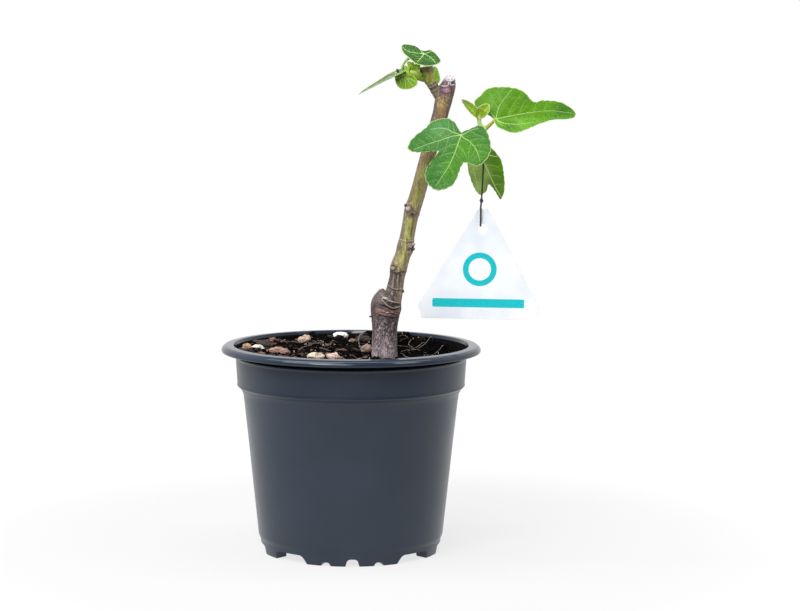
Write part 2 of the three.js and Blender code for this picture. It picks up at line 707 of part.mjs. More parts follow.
fig.add(mesh("trunk", trunk, BARK));
fig.add(mesh("bough_left", boughLeft, GREEN_BARK));
fig.add(mesh("bough_right", boughRight, BARK));
fig.add(
  mesh(
    "leaves_left_shoot",
    foliage(
      [LEFT_SHOOT, LEFT_BUD, TOP_STALK, BACK_STALK],
      [TOP_LEAF, SMALL_LEAF, LONG_LEAF, BACK_LEAF],
      [LEFT_SCALE],
    ),
    LEAF_GREEN,
  ),
);
fig.add(mesh("leaf_front", foliage([FRONT_STALK], [FRONT_LEAF]), LEAF_GREEN));
fig.add(mesh("leaf_hanging", foliage([HANGING_STALK], [HANGING_LEAF]), LEAF_GREEN));
fig.add(
  mesh(
    "leaves_right_shoot",
    foliage([RIGHT_STALK, RIGHT_SHOOT], [RIGHT_LEAF, TIP_LEAF_LEFT, TIP_LEAF_RIGHT]),
    LEAF_GREEN,
  ),
);

const label = mesh("label", tag(), CARD);
label.position.set(...TAG_HOLE);
label.rotation.y = radians(TAG_TURN);
fig.add(label);
fig.add(mesh("label_thread", thread(), BLACK_THREAD));

export default fig;
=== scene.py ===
"""Dresses the frame of a young fig tree in a nursery pot: plastic, peat, bark, leaves and label.

Sizes in the tables are millimetres, with +Z up and -Y towards the viewer. They turn into metres
where a mesh is made.
"""

import math
from dataclasses import dataclass, field
from itertools import product

import bmesh
import bpy
import numpy as np
from mathutils import Matrix, Vector
from mathutils.bvhtree import BVHTree


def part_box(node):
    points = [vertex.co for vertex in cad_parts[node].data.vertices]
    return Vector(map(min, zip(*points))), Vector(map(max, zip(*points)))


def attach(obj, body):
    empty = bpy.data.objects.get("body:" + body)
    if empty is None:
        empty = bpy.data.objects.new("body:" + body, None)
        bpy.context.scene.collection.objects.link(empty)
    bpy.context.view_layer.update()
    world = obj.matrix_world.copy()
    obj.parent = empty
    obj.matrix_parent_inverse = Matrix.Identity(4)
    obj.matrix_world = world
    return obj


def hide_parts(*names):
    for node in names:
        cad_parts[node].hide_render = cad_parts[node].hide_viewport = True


bl_info = {
    "name": "Potted Fig Tree",
    "version": (1, 0, 0),
    "blender": (4, 5, 0),
    "location": "View3D > Sidebar > Fig Tree",
    "description": "Builds the pot, peat, bark, leaves and label of a young fig tree",
    "category": "Object",
}

MM = 0.001
BODY = "root"

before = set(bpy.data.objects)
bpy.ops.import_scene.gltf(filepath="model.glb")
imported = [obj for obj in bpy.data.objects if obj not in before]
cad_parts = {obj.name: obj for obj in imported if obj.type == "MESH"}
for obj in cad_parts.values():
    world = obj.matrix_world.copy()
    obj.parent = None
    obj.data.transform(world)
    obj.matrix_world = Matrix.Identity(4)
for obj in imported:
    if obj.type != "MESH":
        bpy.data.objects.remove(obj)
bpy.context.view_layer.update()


# ---- sizes of the pot

POT_TURN = 2.3  # degrees, the foot's arches are turned to the right
POT_COLUMNS = 256
POT_OUTSIDE = [  # radius, height, rounding of the corner
    (48.3, 0, 0.3), (49, 6.4, 0.5), (50, 8.8, 0.8), (57.6, 80.6, 2), (58.3, 85.6, 1.2),
    (59.3, 87.7, 0.3), (59.7, 88.1, 0.15), (59.75, 88.6, 0.2), (61.1, 89.6, 0.3),
    (61.6, 90.2, 0.2), (61.4, 91.2, 0.6), (62.3, 104.5, 0.6), (62.7, 105.2, 0.2),
    (62.5, 105.8, 0.2), (61.9, 106.1, 0.2), (61.9, 108, 0.2),
    (69, 108, 0.3), (69.9, 108.3, 0.3), (70, 109.5, 0.4), (69.3, 110.7, 0.4),
    (67.9, 111.62, 0.3), (63.9, 111.87, 0.3), (63.4, 111.6, 0.3),
    (63.1, 110.6, 0.5),
]
POT_INSIDE = [
    (61.2, 105.2, 0.8), (59.7, 90.4, 0.5), (57.7, 87.2, 0.5), (56.3, 79, 2), (49, 11, 2),
    (47.1, 6, 0.6), (0, 6, 0),
]
POT_UNDERSIDE = [(0, 0, 0), (12, 0, 0.3), (12.6, 4.6, 0.3), (40.4, 4.6, 0.3), (41, 0, 0.3)]
ARCHES = [  # degrees from the front, reach to either side at the ground and at the top, height
    (0, -3.7, 3.7, -2.6, 2.6, 3.9), (16.8, -2.8, 2.8, -1.6, 1.6, 1.9),
    (-16.8, -2.8, 2.8, -1.6, 1.6, 1.9), (42.6, -11.1, 11.1, -8, 11.1, 4.5),
    (-42.6, -11.1, 11.1, -11.1, 8, 4.5), (90, -16, 16, -15, 15, 4.5),
]
ARCH_REACH = (38, 52)  # where the arches' cutters start and end, out from the middle
DRAINS = {"count": 8, "ring": 33, "radius": 4, "columns": 40, "heights": (-1, 9)}
SHADED_DUSTY_INSIDE = (7, 110.2)  # heights between which the inside gets the black matte finish of painted shade, with dust
SHADED_DUSTY_GROOVE = (105.2, 108, 62.3)  # the groove under the rim, black matte as painted shade, with dust: its heights and its reach

# ---- sizes of the plant

STUB = [  # x, y, z, radius
    (18.1, 2.5, 103.7, 7), (18, 2.4, 111, 6.75), (18, 2.3, 120.3, 6.75), (18.3, 2, 128.5, 7.8),
    (18.7, 2, 133, 8.2), (19.1, 2, 136.1, 7.4), (19.5, 2, 137.9, 5.9), (20.2, 2, 138.7, 3.2),
]
SHOOT = [
    (20.6, -1.5, 130, 4.6), (21.4, -2, 133.6, 5.1), (22.5, -1.5, 138, 4.9), (23.5, -0.4, 142.6, 4.45),
    (24.5, 1, 148, 4.15),
    (25.4, 1.8, 153.3, 4.65), (27.4, 1.7, 159.5, 4.2), (28.9, 1.6, 164.2, 4.6),
    (29.9, 1.5, 170.3, 3.9), (31.4, 1.4, 179, 3.95), (32.6, 1.3, 184.6, 4.35),
    (34.4, 1.2, 189.8, 4.15), (36.8, 1, 198.4, 4.1), (39, 0.8, 207, 4.1),
    (43.2, 0.5, 222, 4.15), (47, 0.3, 234.8, 4.2), (48.4, 0.2, 241.2, 4.5),
    (50, 0.1, 247.6, 4.6), (51.5, 0, 251.4, 3.9), (52.2, 0, 254.6, 2.7), (52.6, 0, 256.6, 1),
]
BOUGH_LEFT = [
    (47.4, 0, 244.4, 3), (43.6, -1, 250.2, 2.7), (41.6, -1.6, 253.6, 2.9),
    (40.1, -2, 256.4, 3.5), (39.4, -2.4, 261, 3.6),
]
BOUGH_RIGHT = [
    (44.5, 0, 219.5, 2.7), (50, -2, 221.4, 2.4), (57, -5, 222.8, 2.2), (64, -8, 225, 2),
    (69.6, -9.5, 227.4, 1.8),
]


def srgb(red, green, blue):
    """A colour of the screen, each part from 0 to 255, as linear light."""
    parts = np.array((red, green, blue), float) / 255
    return tuple(np.where(parts <= 0.04045, parts / 12.92, ((parts + 0.055) / 1.055) ** 2.4))


MAUVE_BARK = srgb(104, 88, 92)
PALE_BARK = srgb(176, 156, 132)
BROWN_BARK = srgb(120, 104, 88)
DARK_BARK = srgb(52, 38, 34)
GREEN_BARK = srgb(162, 164, 78)
OLIVE_BARK = srgb(156, 142, 94)
ORANGE_BARK = srgb(150, 104, 70)
PURPLE_BARK = srgb(136, 100, 112)
SCAR_PINK = srgb(196, 176, 170)
SCAR_GREY = srgb(142, 124, 114)
SCAR_RED = srgb(146, 100, 98)
WAX = srgb(232, 222, 230)


@dataclass
class Mark:
    """A leaf scar, bud or patch on a limb: an egg-shaped lump, and its colour."""

    at: tuple
    half: tuple
    colour: tuple
    lift: float = 1  # share of the lump that stands out; 0 paints only
    edge: tuple = PALE_BARK
    soft: float = 0.3


@dataclass
class Stroke:
    """A ring, ridge or crease on a limb's front: a line through (x, z), its width and rise."""

    through: list
    width: float
    rise: float
    colour: tuple
    strength: float = 1


TRUNK_MARKS = [
    # painted shade: the dark patch in the hollow between the two pale arcs at the shoot's root
    Mark((22, -6.6, 134.4), (4, 2.6, 1.3), srgb(42, 36, 40), 0, DARK_BARK, 0.4),
    Mark((17.9, -5.8, 137.3), (1.7, 2, 0.8), srgb(196, 184, 180), 0.3, DARK_BARK, 0.3),
    Mark((27.5, -0.8, 140.7), (1, 1.4, 0.9), SCAR_GREY, 1, DARK_BARK),
    Mark((22.6, -1, 153), (1.8, 2.2, 1.3), SCAR_PINK, 0.7, DARK_BARK),
    Mark((31.4, -2.4, 165.2), (1.3, 1.3, 1.4), srgb(168, 150, 146), 0.8, SCAR_GREY),
    Mark((33.2, -0.8, 166), (1, 1.4, 1), SCAR_PINK, 1, SCAR_GREY),
    Mark((33, -0.8, 163.6), (1.1, 1.4, 1), srgb(150, 132, 124), 1, DARK_BARK),
    Mark((30.4, -2.5, 163.4), (0.8, 1, 0.6), DARK_BARK, 0.4),
    Mark((30.4, -2, 185.2), (1.9, 1.9, 1.6), srgb(204, 180, 174), 0.8, DARK_BARK),
    Mark((29.2, -0.6, 186.9), (1.3, 2.2, 1.1), DARK_BARK, 0.6),
    Mark((32.4, -2.6, 182.2), (2, 1.8, 1.9), srgb(74, 52, 40), 0, BROWN_BARK, 0.6),
    Mark((10.3, 0, 126.7), (1, 0.7, 0.6), DARK_BARK, 1, DARK_BARK),
    Mark((50.6, -4.2, 248.6), (1.5, 1.4, 1.5), srgb(186, 142, 162), 0.15, PURPLE_BARK, 0.6),
    Mark((53.3, -2.6, 252.7), (0.7, 1.4, 0.7), DARK_BARK, 0, DARK_BARK, 0.4),
]
TRUNK_STROKES = [
    Stroke([(14.6, 130.4), (18.6, 129.9), (22.6, 129), (26.2, 130)], 1.7, 0.3, SCAR_RED, 1),
    Stroke([(15.4, 129.2), (18, 128.3), (20.6, 127.8), (23.8, 127.2), (25.8, 128.2)], 0.3, 0.25,
           srgb(190, 158, 154), 0.9),
    *[Stroke([(x, z), (x + 1.3, z - 0.3)], 0.3, 0.25, srgb(200, 176, 172), 0.85) for x, z in (
        (16.8, 130.4), (19, 129.7), (21.4, 130), (20.2, 128.7), (23.4, 129), (24.7, 130.1),
        (22.3, 128), (24.6, 128.2))],
    Stroke([(15.4, 128), (18, 127.3), (20.6, 126.7), (23.8, 126.1), (26, 127.2)], 0.35, -0.4,
           DARK_BARK, 0.9),
    Stroke([(16.4, 133.4), (19, 132.4), (21.6, 131.4), (23.8, 131.2), (26.1, 131.8)], 0.45, -0.7,
           srgb(34, 24, 28)),
    Stroke([(16.2, 136.9), (19, 133.9), (22.2, 132.2), (25.9, 132.7)], 0.24, 0.55,
           srgb(192, 182, 176)),
    Stroke([(16.2, 138.6), (18.4, 137.2), (20.6, 136), (23.2, 135.3), (26, 134.6)], 0.3, 0.55,
           srgb(176, 166, 160)),
    Stroke([(19.6, 144.2), (21.6, 142.9), (23.7, 142.2), (28.5, 141.9)], 0.25, 0.4, PALE_BARK),
    Stroke([(19.6, 143.3), (21.6, 142), (23.7, 141.3), (28.3, 141)], 0.25, -0.3, DARK_BARK, 0.7),
    Stroke([(21.8, 151.6), (24.4, 150.9), (26.4, 151.6), (29.8, 151.2)], 0.35, 0.3, srgb(60, 48, 44)),
    Stroke([(21, 151.2), (22, 154.6), (24.6, 154.2)], 0.3, 0.2, DARK_BARK),
    Stroke([(24.4, 149.6), (23.8, 146), (23.6, 143)], 0.3, -0.35, DARK_BARK, 0.9),
    Stroke([(26.4, 149), (26, 146), (26.2, 143.4)], 0.3, -0.35, DARK_BARK, 0.9),
    Stroke([(25.2, 149.8), (24.8, 146), (24.8, 143.2)], 0.3, 0.2, srgb(156, 140, 126), 0.8),
    Stroke([(22.9, 149.6), (22.3, 146), (22, 143.6)], 0.35, 0.2, srgb(150, 134, 122), 0.8),
    Stroke([(25.4, 168.9), (26.9, 168.4), (29.2, 167.8), (33.6, 168)], 0.3, 0.35, PALE_BARK, 0.9),
    Stroke([(29.4, 169), (31, 167), (30, 165)], 0.3, 0.2, srgb(90, 70, 56), 0.8),
    Stroke([(28, 187.4), (30.6, 187.4), (33, 184.6), (36.6, 181.8)], 0.35, 0.3, srgb(78, 56, 46),
           0.9),
    Stroke([(33.4, 183.4), (36.4, 181.2)], 0.3, 0.3, PALE_BARK, 0.7),
    Stroke([(44, 246), (45.3, 245), (48.3, 242.7), (51.2, 240.4)], 0.22, 0.15, srgb(206, 184, 140)),
    Stroke([(44.4, 243.6), (46.6, 244.5), (49, 245.4), (52.6, 244)], 0.2, 0.12, srgb(190, 166, 128),
           0.7),
    Stroke([(44.8, 248.4), (45.4, 246.2), (46.8, 244.8)], 0.22, 0.15, PALE_BARK, 0.8),
    Stroke([(46, 248.2), (50, 246.6), (54.2, 247.2)], 0.3, -0.2, DARK_BARK, 0.7),
    Stroke([(47.6, 250.9), (50.1, 250.8), (51.2, 251.3), (51.4, 253)], 0.32, 0.35, WAX),
    Stroke([(52.2, 252.6), (52.9, 251.3), (54.2, 251.6)], 0.32, 0.35, WAX),
]
LEFT_STROKES = [
    Stroke([(41, 247.4), (43.7, 248.3), (46.4, 250)], 0.3, 0.3, PALE_BARK),
    Stroke([(39.8, 249.6), (42.6, 250.3), (45, 252)], 0.3, 0.3, PALE_BARK),
    Stroke([(40.4, 248.4), (43.2, 249.3), (45.8, 251)], 0.35, -0.3, DARK_BARK),
    Stroke([(38.8, 251.6), (41.4, 252), (44.2, 253.6)], 0.25, 0.2, PALE_BARK, 0.8),
    Stroke([(36.6, 260.2), (38.6, 258), (38.4, 255.4)], 0.3, 0.2, PALE_BARK, 0.5),
    Stroke([(38.4, 261), (40.6, 259.4), (42.2, 259.8)], 0.3, 0.25, PALE_BARK, 0.6),
]


# ---- the leaves

BLUE_GREEN = srgb(44, 107, 38)
DEEP_GREEN = srgb(20, 70, 18)
FRESH_GREEN = srgb(80, 137, 10)
YOUNG_GREEN = srgb(116, 144, 2)
YOUNG_BACK = srgb(128, 160, 70)
SHADE_GREEN = srgb(78, 134, 2)
GREY_GREEN = srgb(150, 180, 98)
# painted light: the pale grey-green of the hanging leaf's half that faces the light
PAINTED_LIGHT_GREY = srgb(202, 236, 130)
PALE_VEIN = srgb(174, 208, 130)
VEIN_BEHIND = srgb(206, 222, 168)
RIM_PALE = srgb(190, 212, 148)


@dataclass
class Main:
    """A main vein: its route from the leaf's foot, and where it branches to either side."""

    route: list  # degrees from the middle lobe, reach
    plus: tuple = ()  # reaches where a side vein leaves towards larger angles
    minus: tuple = ()


@dataclass
class Patch:
    """A soft patch of another colour on a leaf's upper side, placed as the veins are. Some are the
    leaf's own tone; others are painted light and sheen.
    """

    turn: float
    reach: float
    size: float
    colour: tuple
    strength: float = 0.7


@dataclass
class Leaf:
    """A leaf blade. Its rim is a list of degrees from the middle lobe and reach from the foot."""

    at: tuple
    tip: tuple
    face: tuple
    rim: list
    mains: list
    colour: tuple
    cup: float = 0
    fold: float = 0
    droop: float = 0
    tooth: float = 0.3
    quilt: float = 0.4
    wave: float = 0.5
    vein: float = 0.27
    back: tuple = GREY_GREEN
    margin: float = 0.8
    grain: float = 1  # how fine its cells and hairs are
    vein_colour: tuple = PALE_VEIN
    patches: list = field(default_factory=list)


def young_leaf(colour, back=YOUNG_BACK, vein=0.2, wave=0.2, **shape):
    """A leaf of a shoot's tip, still smooth, with small teeth."""
    return Leaf(colour=colour, back=back, vein=vein, wave=wave, quilt=0.15, tooth=0.15, **shape)


def even_rim(foot, side, tip):
    """The rim of a leaf whose two sides are alike."""
    return [foot, *side, tip, *[(-turn, reach) for turn, reach in reversed(side)]]


FRONT_LEAF = Leaf(
    at=(58, -18, 225.3), tip=(43.7, -25, 197.2), face=(-0.1, -1, 0.3), cup=0.05, droop=0.08,
    rim=[(-140, 2), (-127, 7.5), (-114, 12), (-91, 17), (-75, 19.6), (-60, 26), (-50, 29),
         (-43, 25.4), (-33, 16.4), (-26, 15.8), (-19, 26), (-10, 30.8), (3, 32), (17, 27),
         (26, 17.2), (35, 15.2), (57, 19.3), (86, 18), (118, 14.2), (142, 11.4), (155, 4.5)],
    mains=[
        Main([(7, 4.5), (7, 9.6), (5, 17.6), (2, 24), (0, 30.4)],
             (5.6, 10.1, 18, 24.1, 27.6), (5, 9.9, 15.6, 21.8, 26.4)),
        Main([(-57, 4.5), (-51, 10), (-49, 17.5), (-47, 26)], (7, 12, 17.5, 22), (9, 14, 19, 23)),
        Main([(66, 2), (78, 5.2), (73, 9.8), (67, 13.5), (61, 17.6)], (5.5, 9, 12.2, 15), (7, 11, 14)),
        Main([(-85, 4.8), (-88, 8.5), (-82, 12.7), (-75, 16.6)], (5, 9), (4, 7.5, 11)),
        Main([(140, 2.8), (142, 6.3), (136, 9.8)], (4, 7), (5,)),
    ],
    colour=BLUE_GREEN, quilt=0.2, tooth=0.4, vein=0.23,
    # painted light: the bright green patch between the midrib and the right main vein, and the one at
    # the lower right of the middle lobe, stand for facets that catch the light; the pale patch on the
    # left lobe is painted sheen
    patches=[
        Patch(42, 8.5, 6, srgb(66, 134, 0), 1), Patch(14, 19, 5.4, srgb(60, 126, 0), 0.9),
        Patch(70, 14, 7, srgb(50, 112, 2), 0.85), Patch(-80, 11, 7, srgb(84, 142, 88), 0.6),
    ],
)
RIGHT_LEAF = Leaf(
    at=(76.5, -9, 233.6), tip=(119, -2, 235.5), face=(0.05, -1, 0.55), fold=0.3, droop=0.06,
    rim=[(152, 2.5), (143, 13.6), (122, 14.4), (98, 16.3), (72, 17.2), (48, 20.4), (32, 21.8),
         (21, 23.2), (18, 29.5), (11, 38.5), (3, 44.2), (-1, 41), (-2, 32), (-12, 22.6),
         (-27, 17.5), (-50, 13), (-83, 6.2), (-125, 2.2)],
    mains=[
        Main([(9, 10.6), (8, 22.3), (7, 30), (5, 36), (3, 42)],
             (7.5, 13.4, 21, 26.9, 33), (10, 19, 28)),
        Main([(70, 6.3), (64, 10), (59, 14.5), (55, 19.6)], (5.9, 9.6), (13.6,)),
        Main([(-40, 4.7), (-24, 9.8), (-15, 15), (-8, 20.5)], (12,), (7, 12)),
        Main([(-62, 3.4), (-56, 5.7)]),
        Main([(122, 4), (128, 8.4)], (), (4.6,)),
    ],
    colour=FRESH_GREEN, quilt=0.25, tooth=0.36, vein=0.22,
    patches=[
        # painted sheen: the pale patch at 118 degrees, high up near the foot
        Patch(118, 10, 5.5, srgb(104, 156, 56), 0.75), Patch(72, 14, 5, srgb(92, 148, 56), 0.6),
        Patch(5, 38, 6, BLUE_GREEN, 0.75), Patch(-24, 17, 5, srgb(84, 138, 26), 0.7),
        Patch(-40, 8, 5, srgb(52, 98, 2), 0.85),
        Patch(30, 21, 3, BLUE_GREEN, 0.4),
    ],
)
HANGING_LEAF = Leaf(
    at=(66, 3, 219.4), tip=(80.3, 6, 190.3), face=(0.1, -1, 0.1), fold=-0.35,
    rim=[(-130, 2.2), (-75, 4.5), (-52, 8.6), (-38, 14.6), (-26, 22.8), (-19, 27.2), (-12, 26),
         (-6, 22.8), (-2, 27.5), (0, 32.7), (9, 28.7), (20, 22.4), (34, 17.1), (50, 10.4),
         (80, 4.6)],
    mains=[
        Main([(1, 12), (0, 19), (0, 25.4), (1, 31.4)], (5, 12.3, 18, 23.6), (10, 15, 19.6)),
        Main([(-29, 11.8), (-22, 20.5), (-20, 25.6)], (8, 13.9, 19), (7, 12, 16.7, 21)),
        Main([(22, 6), (31, 11), (37, 14.6)], (5, 9), (7,)),
    ],
    colour=SHADE_GREEN, vein=0.46, vein_colour=srgb(240, 252, 184), margin=0.6, quilt=0.3,
    # painted light: the pale grey patches light up the left half of the fold, which faces the light
    patches=[
        Patch(-20, 22, 5.5, PAINTED_LIGHT_GREY, 1), Patch(-28, 12, 6.5, PAINTED_LIGHT_GREY, 1),
        Patch(-6, 17, 2.6, PAINTED_LIGHT_GREY, 0.9), Patch(8, 27, 4, srgb(110, 146, 60), 0.6),
    ],
)
TOP_LEAF = Leaf(
    at=(38.4, -6, 267.7), tip=(34.5, -18, 262.2), face=(0.1, -0.55, 1), fold=-0.1, droop=0.1,
    rim=[(-172, 3.4), (160, 6), (109, 7), (76, 10.2), (52, 11.2), (28, 12), (0, 11.8),
         (-24, 10.2), (-64, 10.3), (-95, 12.8), (-114, 15.4), (-124, 13), (-133, 9.5), (-140, 5)],
    mains=[
        Main([(-4, 5), (-6, 10.8)], (3.6, 6.6), (3, 6, 8.4)),
        Main([(64, 5), (54, 9.8)], (3.4, 6.4), (4.6, 7.4)),
        Main([(-84, 4), (-92, 9), (-108, 13.8)], (4, 7.4, 10.4), (5.6, 9)),
        Main([(-134, 3), (-138, 5)], (), ()),
        Main([(150, 3), (150, 5.2)], (), ()),
    ],
    colour=DEEP_GREEN, vein=0.26, quilt=0.2, wave=0.3, tooth=0.25,
    patches=[Patch(-95, 8, 3, srgb(28, 84, 38), 0.7), Patch(50, 6, 2.6, srgb(38, 98, 44), 0.6)],
)
SMALL_LEAF = Leaf(
    at=(27.4, -7.2, 256.6), tip=(29.3, -8, 248.7), face=(-0.1, -1, -0.1), cup=0.1,
    rim=[(-150, 1.4), (-106, 4.2), (-64, 5.4), (-34, 7), (-8, 7.7), (22, 8.6), (46, 9), (66, 6.4),
         (110, 2.4)],
    mains=[
        Main([(31, 2.7), (28, 7.5)], (3,), (4.4,)), Main([(4, 3.3), (-4, 7)], (3.6,), (2.6,)),
        Main([(49, 4.9), (49, 8)], (4,), ()), Main([(-40, 2.9), (-33, 6)], (3.4,), (2.4,)),
        Main([(-75, 2.7), (-76, 4.4)]),
    ],
    colour=srgb(112, 150, 18), vein=0.28, quilt=0.28, wave=0.3, tooth=0.3,
)
LONG_LEAF = Leaf(
    at=(26.2, -5.6, 258), tip=(3.3, -4, 247.2), face=(-0.46, -0.18, 0.9), fold=0.12, droop=0.04,
    rim=even_rim((170, 1.6), [(130, 4.6), (96, 6.2), (62, 8.4), (40, 10.8), (24, 13.6),
                              (11, 19.4)], (0, 25.8)),
    mains=[Main([(0, 12), (0, 25)]), Main([(52, 5), (44, 9)]), Main([(-52, 5), (-44, 9)])],
    colour=srgb(90, 106, 76), back=srgb(96, 116, 82), vein=0.2, wave=0.1, tooth=0.02, quilt=0.06,
    grain=0.2,
)
BACK_LEAF = Leaf(
    at=(43, 4.4, 254), tip=(44.6, 11.4, 261), face=(0.6, -0.75, 0.3), cup=0.05, fold=0.1,
    rim=even_rim((170, 1.2), [(120, 3), (75, 4.2), (40, 5.8)], (0, 9.6)),
    mains=[Main([(0, 5), (0, 9)], (1.4, 3, 4.6, 6.2), (1.4, 3, 4.6, 6.2))],
    colour=srgb(120, 166, 26), back=srgb(132, 176, 52), vein=0.28, quilt=0.35, wave=0.1,
)
TIP_LEAF_LEFT = young_leaf(
    YOUNG_GREEN, at=(67.5, -10.2, 234.6), tip=(57.9, -11, 243.4), face=(0.5, -0.8, 0.6), fold=0.4,
    droop=-0.06, vein=0.22, wave=0.1, margin=0.5,
    rim=even_rim((180, 0.8), [(80, 2.2), (38, 5), (17, 9)], (0, 13.2)),
    mains=[Main([(0, 6), (0, 12.4)], (2.4, 5, 7.6), (2.4, 5, 7.6))],
    patches=[Patch(0, 12, 3.4, srgb(78, 116, 52), 0.8)],
)
TIP_LEAF_RIGHT = young_leaf(
    YOUNG_GREEN, at=(67.7, -10.2, 234.8), tip=(73, -10, 241), face=(-0.35, -1, 0.2), fold=0.35,
    vein=0.22, wave=0.1,
    rim=[(180, 0.8), (95, 2), (45, 4.8), (18, 7.4), (0, 8.3), (-25, 6.2), (-60, 3.2),
         (-110, 1.2)],
    mains=[Main([(0, 4), (0, 7.8)], (2, 4.2), (2, 4.2))],
)
LEAFLETS = [
    young_leaf(
        srgb(152, 188, 34), srgb(164, 196, 74), at=at, tip=tip, face=face, cup=0.1, fold=0.25,
        rim=even_rim((180, 0.6), [(95, 2), (45, 3.2), (15, reach * 0.8)], (0, reach)),
        mains=[Main([(0, reach * 0.5), (0, reach * 0.9)], (1.2, 2.4, 3.6), (1.2, 2.4, 3.6))])
    for at, tip, face, reach in (
        ((33.4, -5.6, 259), (28.6, -6.6, 264.2), (0.3, -1, 0.2), 6.4),
        ((33, -5.8, 258.6), (36.4, -6, 262.8), (-0.2, -1, 0.3), 5.4),
        ((29.4, -6, 258.4), (25.8, -6.4, 260.6), (0.1, -1, 0.4), 4),
        ((31.6, -6.4, 258), (31, -7.6, 262.4), (0.6, -0.9, 0.2), 4.6),
    )
]
YOUNG_MIDDLE = young_leaf(
    srgb(132, 160, 12), at=(67.6, -10.6, 234.4), tip=(68.4, -11.4, 241), face=(0.1, -1, 0.15),
    cup=0.15, fold=0.2, margin=0.4,
    rim=[(180, 0.7), (110, 1.4), (60, 2.8), (28, 4.9), (5, 5.4), (-25, 5), (-60, 2.8), (-110, 1.4)],
    mains=[Main([(0, 2.4), (4, 4.8)], (1.6, 3.2), (2.4,))],
)

STALK_GREEN = srgb(140, 160, 50)
STALK_OLIVE = srgb(150, 154, 40)
STALK_PALE = srgb(176, 200, 120)
STALK_GREY = srgb(122, 142, 104)
BUD_CREAM = srgb(164, 188, 84)


@dataclass
class Stalk:
    """A leaf stalk, shoot tip or bud: its stations and its colour at the root and at the tip."""

    stations: list
    root: tuple
    tip: tuple


@dataclass
class Mass:
    """A node of foliage: what grows in it."""

    node: str
    leaves: list
    stalks: list


MASSES = [
    Mass(
        "leaves_left_shoot",
        [TOP_LEAF, SMALL_LEAF, LONG_LEAF, BACK_LEAF, *LEAFLETS],
        [
            Stalk([(38, -3.6, 254.6, 1.7), (35.4, -6, 255.2, 1.5), (31.4, -7.6, 256.2, 1.2),
                   (26.8, -8, 257.6, 0.9)], srgb(112, 140, 8), srgb(140, 168, 40)),
            Stalk([(35, -4, 255.4, 2), (33.6, -4.4, 258.6, 2), (32.6, -4.8, 261.4, 1.3),
                   (32, -5, 263.4, 0.4)], srgb(122, 150, 40), srgb(140, 172, 60)),
            Stalk([(37, -5, 256.8, 1), (34.6, -6.6, 257.4, 1.5), (31.8, -7.2, 258, 1.3),
                   (30, -7.2, 258.6, 0.4)], BUD_CREAM, BUD_CREAM),
            Stalk([(26.8, -6.5, 257.8, 0.9), (26.9, -6.4, 261, 0.7), (28.8, -6, 264.4, 0.7),
                   (33, -5.8, 266.4, 0.7), (38.4, -6, 267.6, 0.8)], STALK_GREY, STALK_PALE),
            Stalk([(34.6, -3.6, 255.6, 0.9), (37.2, 3.6, 254.6, 0.8), (43.4, 5, 254.4, 0.7)],
                  STALK_GREEN, STALK_GREEN),
            Stalk([(24.4, -5.4, 258.4, 0.7), (24.2, -6.4, 259, 0.9), (24, -6.8, 259.8, 0.3)],
                  BROWN_BARK, DARK_BARK),
        ],
    ),
    Mass("leaf_front", [FRONT_LEAF],
         [Stalk([(60, -6.8, 223.9, 1), (59.8, -12, 224.4, 0.9), (58, -18, 225.3, 0.8)],
                STALK_OLIVE, STALK_PALE)]),
    Mass("leaf_hanging", [HANGING_LEAF],
         [Stalk([(61.8, -6.6, 224.2, 1), (63, -1, 222.8, 0.9), (66, 3, 219.4, 0.8)],
                STALK_OLIVE, STALK_GREEN)]),
    Mass("leaves_right_shoot", [RIGHT_LEAF, TIP_LEAF_LEFT, TIP_LEAF_RIGHT, YOUNG_MIDDLE],
         [Stalk([(69.4, -9.5, 227.2, 1.5), (73.2, -9.7, 230.4, 1), (76.5, -9, 233.6, 0.8)],
                STALK_OLIVE, STALK_OLIVE),
          Stalk([(70.6, -9.7, 228.1, 1.4), (68, -10.3, 231, 1.2), (67.6, -10.2, 235.4, 1.1)],
                STALK_PALE, STALK_PALE)]),
]

# ---- sizes of the label

TAG_HOLE = (70.1, -12, 175.3)
TAG_HOLE_RADIUS = 3
TAG_THICKNESS = 0.7
TAG_TURN = 0.8  # degrees, right side down
TAG_OUTLINE = [  # right of and above the hole, rounding of the corner
    (-2.6, 10.7, 0.8), (-33.9, -41, 1.6), (-31.5, -48, 0.5), (28.3, -48, 0.5), (30.7, -41, 1.6),
    (2.6, 10.7, 0.8),
]
TAG_BAND = {"middle": (-1.6, -39.6), "half": (24.5, 2.3)}
TAG_DISC = {"middle": (-1.2, -21.5), "radius": 9, "hole": 6}
PRINT_THICKNESS = 0.04
THREAD_RADIUS = 0.5
THREAD_TWIST = {"pitch": 2.4, "step": 0.22}
STRAND_OFFSET = 0.45  # share of the thread's radius
STRAND_RADIUS = 0.58  # share of the thread's radius
THREAD_RING = {"at": (66.2, -8.6, 225.9), "radius": 2.9}
THREAD_STRAND = [(67, -8.6, 223), (69.5, -10.6, 215), (70, -12, 208), (69.2, -12, 190.4)]
THREAD_LOOP = [
    (69.2, -12, 190.4), (68.8, -13.5, 186), (68.8, -13.5, 178.9), (68.8, -12, 177.1),
    (68.8, -10.5, 178.9), (68.8, -10.5, 186), (69.2, -12, 190.4),
]

# ---- what lies on the soil

